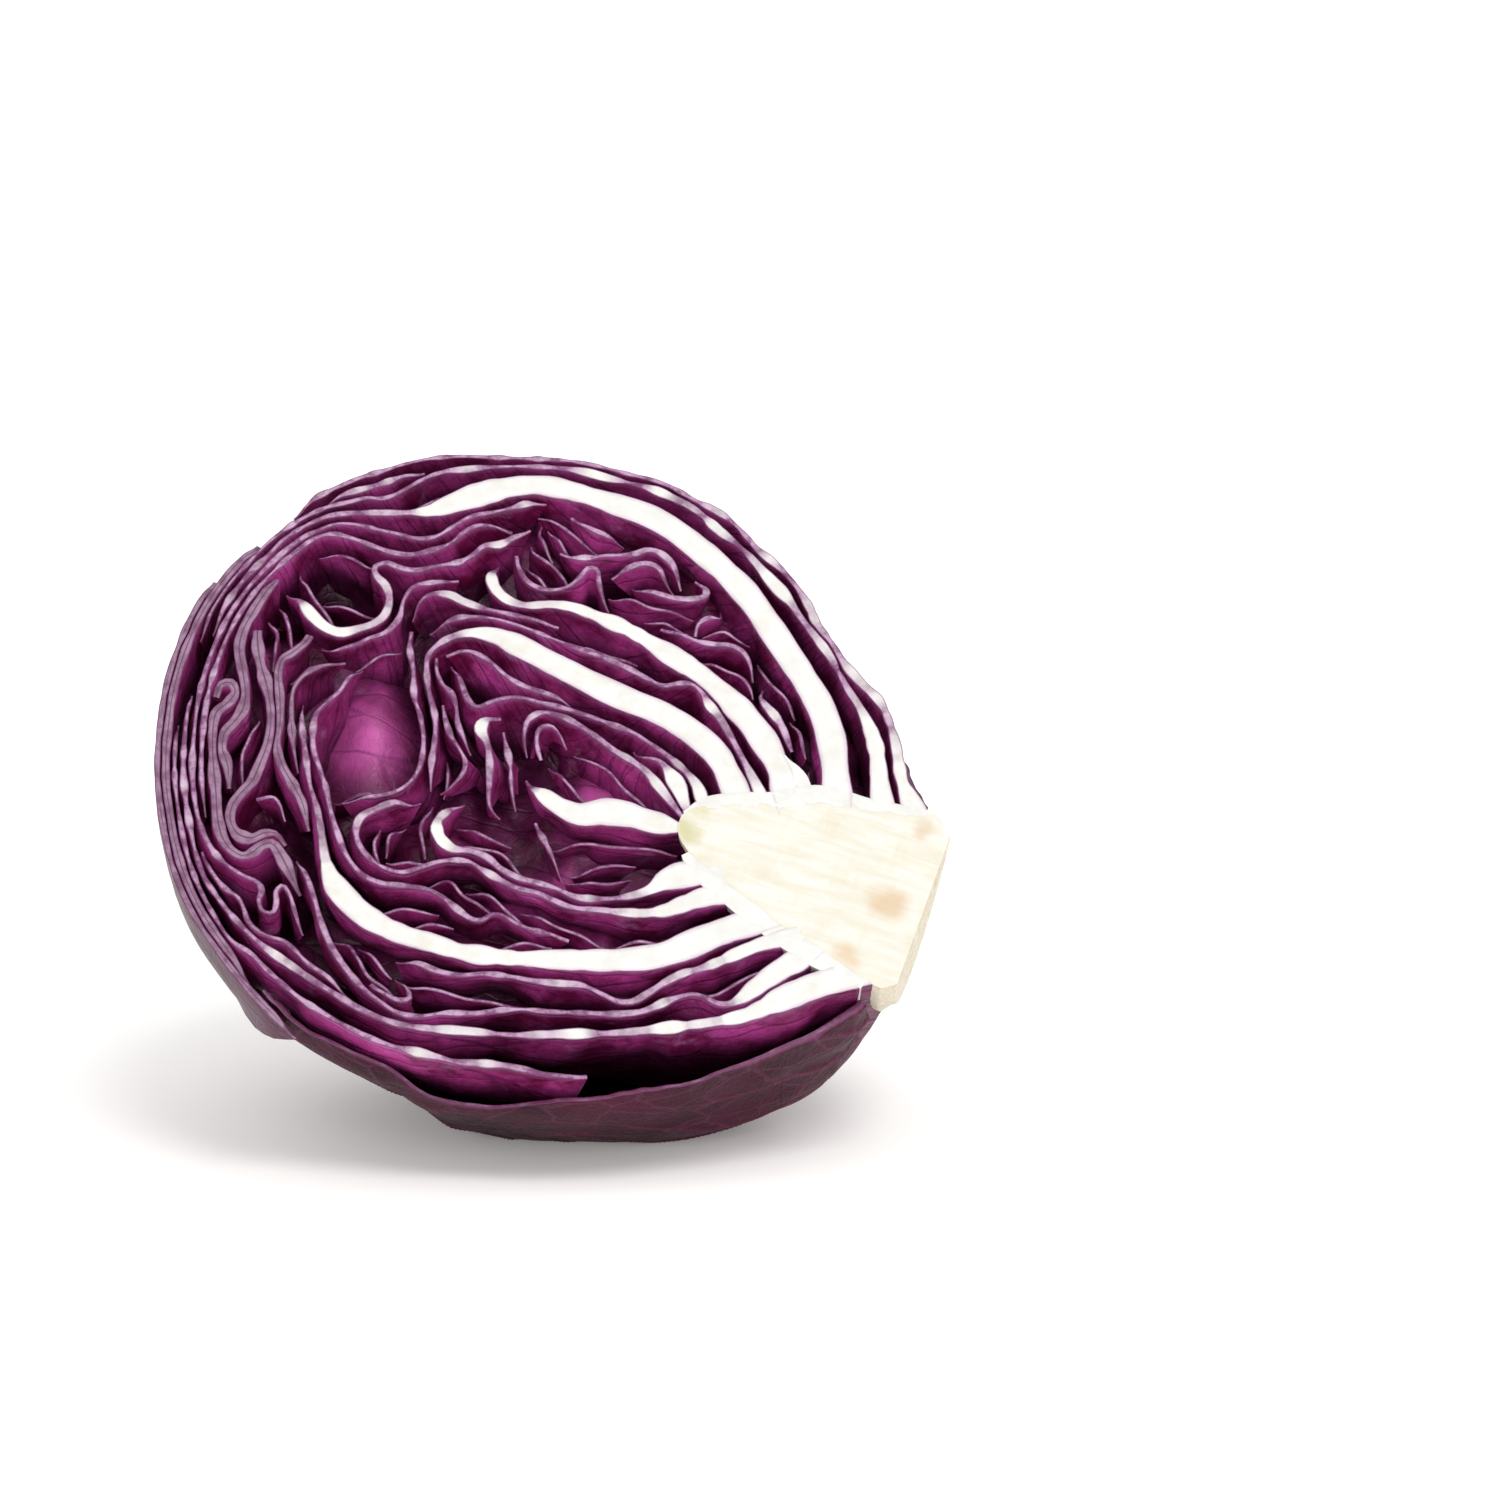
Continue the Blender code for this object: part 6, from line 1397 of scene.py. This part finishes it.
def flesh_material():
    """The cut edge: white in thick ribs, lilac in thin leaf, with a dark line along each skin."""
    n = Nodes("leaf_flesh")
    thick, rim = n.mark("thick"), n.mark("rim")
    thin = n.cloudy(n.noise(3.4, 4.0, 0.65), 0.36, 0.64, "thin flesh")
    white = n.cloudy(n.noise(5.0, 4.0, 0.6), 0.30, 0.70, "flesh")
    white = n.layer(white, n.span(n.noise(9.0, 4.0, 0.65), 0.55, 0.75), 0.35, "flesh stain")
    packed = n.span(n.mark("tint"), 0.6, 0.7)
    full = n.math("ADD", thick, n.times(n.noise(4.0), 0.8))
    full = n.math("SUBTRACT", full, n.times(packed, 1.7))
    colour = n.mix(n.span(full, 1.7, 3.4), thin, white)
    colour = n.layer(colour, packed, 0.55, "flesh packed")
    share = n.math("DIVIDE", rim, n.math("MAXIMUM", thick, 0.5))
    colour = n.layer(colour, n.fall(share, 0.0, 0.20), 0.40, "flesh edge")
    patchy = n.span(n.noise(5.0, 3.0), 0.30, 0.55)
    line = n.math("MULTIPLY_ADD", patchy, 0.45, 0.5)
    colour = n.layer(colour, n.fall(rim, 0.08, 0.30), line, "flesh line")
    middle = n.times(n.times(n.span(share, 0.40, 0.47), packed), n.span(thick, 1.2, 1.6))
    colour = n.layer(colour, middle, 0.8, "flesh middle")
    normal = n.bump(n.noise(0.8, 4.0, 0.65), 0.12, 0.7)
    rough = n.math("MULTIPLY_ADD", n.noise(2.5), 0.25, 0.32)
    return n.finish(colour, rough, normal, 0.15, (1.0, 0.8, 0.9))


def core_material():
    """The core's cut face: ivory, with faint streaks along the stem and across it, and a few stains."""
    n = Nodes("core_face")
    along, across = n.mark("along"), n.mark("across")
    streak = n.noise(2.2, 4.0, 0.6, n.vector(n.times(along, 0.14), across), 0.3)
    crossing = n.noise(2.6, 3.0, 0.6, n.vector(along, n.times(across, 0.2), 7.0), 0.3)
    cloud = n.noise(9.0, 4.0, 0.6)
    colour = n.cloudy(streak, 0.30, 0.70, "core")
    colour = n.layer(colour, n.span(crossing, 0.52, 0.74), 0.35, "core streak")
    colour = n.layer(colour, n.span(cloud, 0.50, 0.72), 0.30, "core cloud")
    for spot, size, strength, stain in SPOTS:
        middle = tuple(float(c) for c in CENTRE + spot[0] * A + spot[1] * B)
        far = n.vector_math("DISTANCE", n.bend(n.place, 5.0, 5.0), middle)["Value"]
        near = n.fall(far, size * 0.2, size)
        colour = n.mix(n.times(near, strength), colour, linear(*stain))
    colour = n.layer(colour, n.fall(n.mark("rim"), 0.2, 2.0), 0.55, "core edge")
    normal = n.bump(streak, 0.25, 0.4, n.bump(n.noise(0.9, 4.0, 0.65), 0.10, 0.6))
    return n.finish(colour, n.math("MULTIPLY_ADD", cloud, 0.2, 0.38), normal, 0.3, (1.0, 0.9, 0.7))


def bark_material():
    """The cut stem's outside and butt: tan, fibrous, stained."""
    n = Nodes("core_bark")
    fibre = n.noise(1.3, 5.0, 0.7, None, 0.6)
    cloud = n.noise(7.0, 4.0, 0.6)
    colour = n.layer(n.cloudy(fibre, 0.3, 0.7, "bark"), n.span(cloud, 0.50, 0.70), 0.30, "bark stain")
    return n.finish(colour, n.math("MULTIPLY_ADD", cloud, 0.2, 0.5), n.bump(fibre, 0.5, 0.8), 0.1)


def wrapper_material():
    """Outer leaves: dusky wine purple under a matt bloom, with a fine net of veins."""
    n = Nodes("wrapper_skin")
    wide = n.cells(9.0, n.bend(n.vector(n.times(n.mark("along"), 0.7), n.mark("across")), 12.0, 5.0))
    vein = n.fall(wide, 0.0, 0.06)
    small = n.fall(n.cells(2.6, n.bend(n.place, 4.0, 1.6)), 0.0, 0.12)
    colour = n.cloudy(n.noise(24.0, 4.0, 0.6), 0.35, 0.68, "wrapper")
    colour = n.layer(colour, vein, 0.16, "wrapper vein")
    colour = n.layer(colour, small, 0.08, "wrapper net")
    colour = n.layer(colour, n.span(n.noise(13.0, 5.0, 0.65), 0.42, 0.80), 0.20, "wrapper bloom")
    colour = n.layer(colour, n.mark("ridge"), 0.42, "wrapper ridge")
    colour = n.layer(colour, n.mark("edge"), 0.4, "wrapper edge")
    normal = n.bump(n.math("MULTIPLY_ADD", vein, 0.8, small), 0.25, 0.7)
    normal = n.bump(n.noise(1.8, 3.0, 0.6), 0.30, 0.5, normal)
    rough = n.math("MULTIPLY_ADD", n.noise(6.0), 0.2, 0.42)
    return n.finish(colour, rough, normal, 0.08, (1.0, 0.25, 0.7), 0.14)


def floor_material():
    n = Nodes("floor_white")
    inputs = n.shader.inputs
    n.link(n.mix(n.noise(FLOOR_CLOUD, 2.0), *FLOOR_COLOURS), inputs["Base Color"])
    inputs["Specular IOR Level"].default_value = 0.0
    inputs["Roughness"].default_value = 1.0
    inputs["Emission Color"].default_value = FLOOR_LIGHT
    inputs["Emission Strength"].default_value = FLOOR_GLOW
    return n.material


def build_stage():
    """The white floor, a sky that is a little brighter low down, and the suns."""
    half = FLOOR_HALF * MM
    mesh = bpy.data.meshes.new("floor")
    corners = [(-half, -half, 0), (half, -half, 0), (half, half, 0), (-half, half, 0)]
    mesh.from_pydata(corners, [], [(0, 1, 2, 3)])
    mesh.materials.append(floor_material())
    add_object("floor", mesh)
    world = bpy.data.worlds.new("light")
    bpy.context.scene.world = world
    world.use_nodes = True
    tree = world.node_tree
    background = tree.nodes["Background"].inputs
    background["Color"].default_value = (1.0, 1.0, 1.0, 1.0)
    where = tree.nodes.new("ShaderNodeTexCoord")
    split = tree.nodes.new("ShaderNodeSeparateXYZ")
    sky = tree.nodes.new("ShaderNodeMapRange")
    for name, value in zip(("From Min", "From Max", "To Min", "To Max"), (*SKY_RISE, SKY_LOW, SKY_HIGH)):
        sky.inputs[name].default_value = value
    tree.links.new(where.outputs["Generated"], split.inputs[0])
    tree.links.new(split.outputs["Z"], sky.inputs["Value"])
    tree.links.new(sky.outputs["Result"], background["Strength"])
    for name, power, angle, turn in SUNS:
        light = bpy.data.lights.new(name, "SUN")
        light.energy = power
        light.angle = math.radians(angle)
        add_object(name, light).rotation_euler = tuple(math.radians(x) for x in turn)


def build_camera():
    back = np.array((0.0, -math.cos(CAMERA_RISE), math.sin(CAMERA_RISE)))
    up = np.array((0.0, math.sin(CAMERA_RISE), math.cos(CAMERA_RISE)))
    where = CENTRE + back * CAMERA_FAR + np.array((1.0, 0.0, 0.0)) * CAMERA_RIGHT + up * CAMERA_UP
    data = bpy.data.cameras.new("camera")
    data.lens = CAMERA_LENS
    data.sensor_width = CAMERA_SENSOR
    data.clip_start, data.clip_end = CAMERA_CLIP
    camera = add_object("camera", data)
    camera.location = tuple(where * MM)
    camera.rotation_euler = (math.pi / 2 - CAMERA_RISE, 0.0, 0.0)
    bpy.context.scene.camera = camera
    bpy.context.scene.view_settings.view_transform = "Standard"


SKIN = skin_material()
FLESH = flesh_material()
build_stage()
build_camera()
build_leaves(SKIN, FLESH)
build_webs(FLESH)
build_backing(SKIN)
build_core(core_material(), bark_material())
OUTSIDE = wrapper_material()
build_lower_wrapper(OUTSIDE, FLESH)
build_upper_wrapper(OUTSIDE, FLESH)
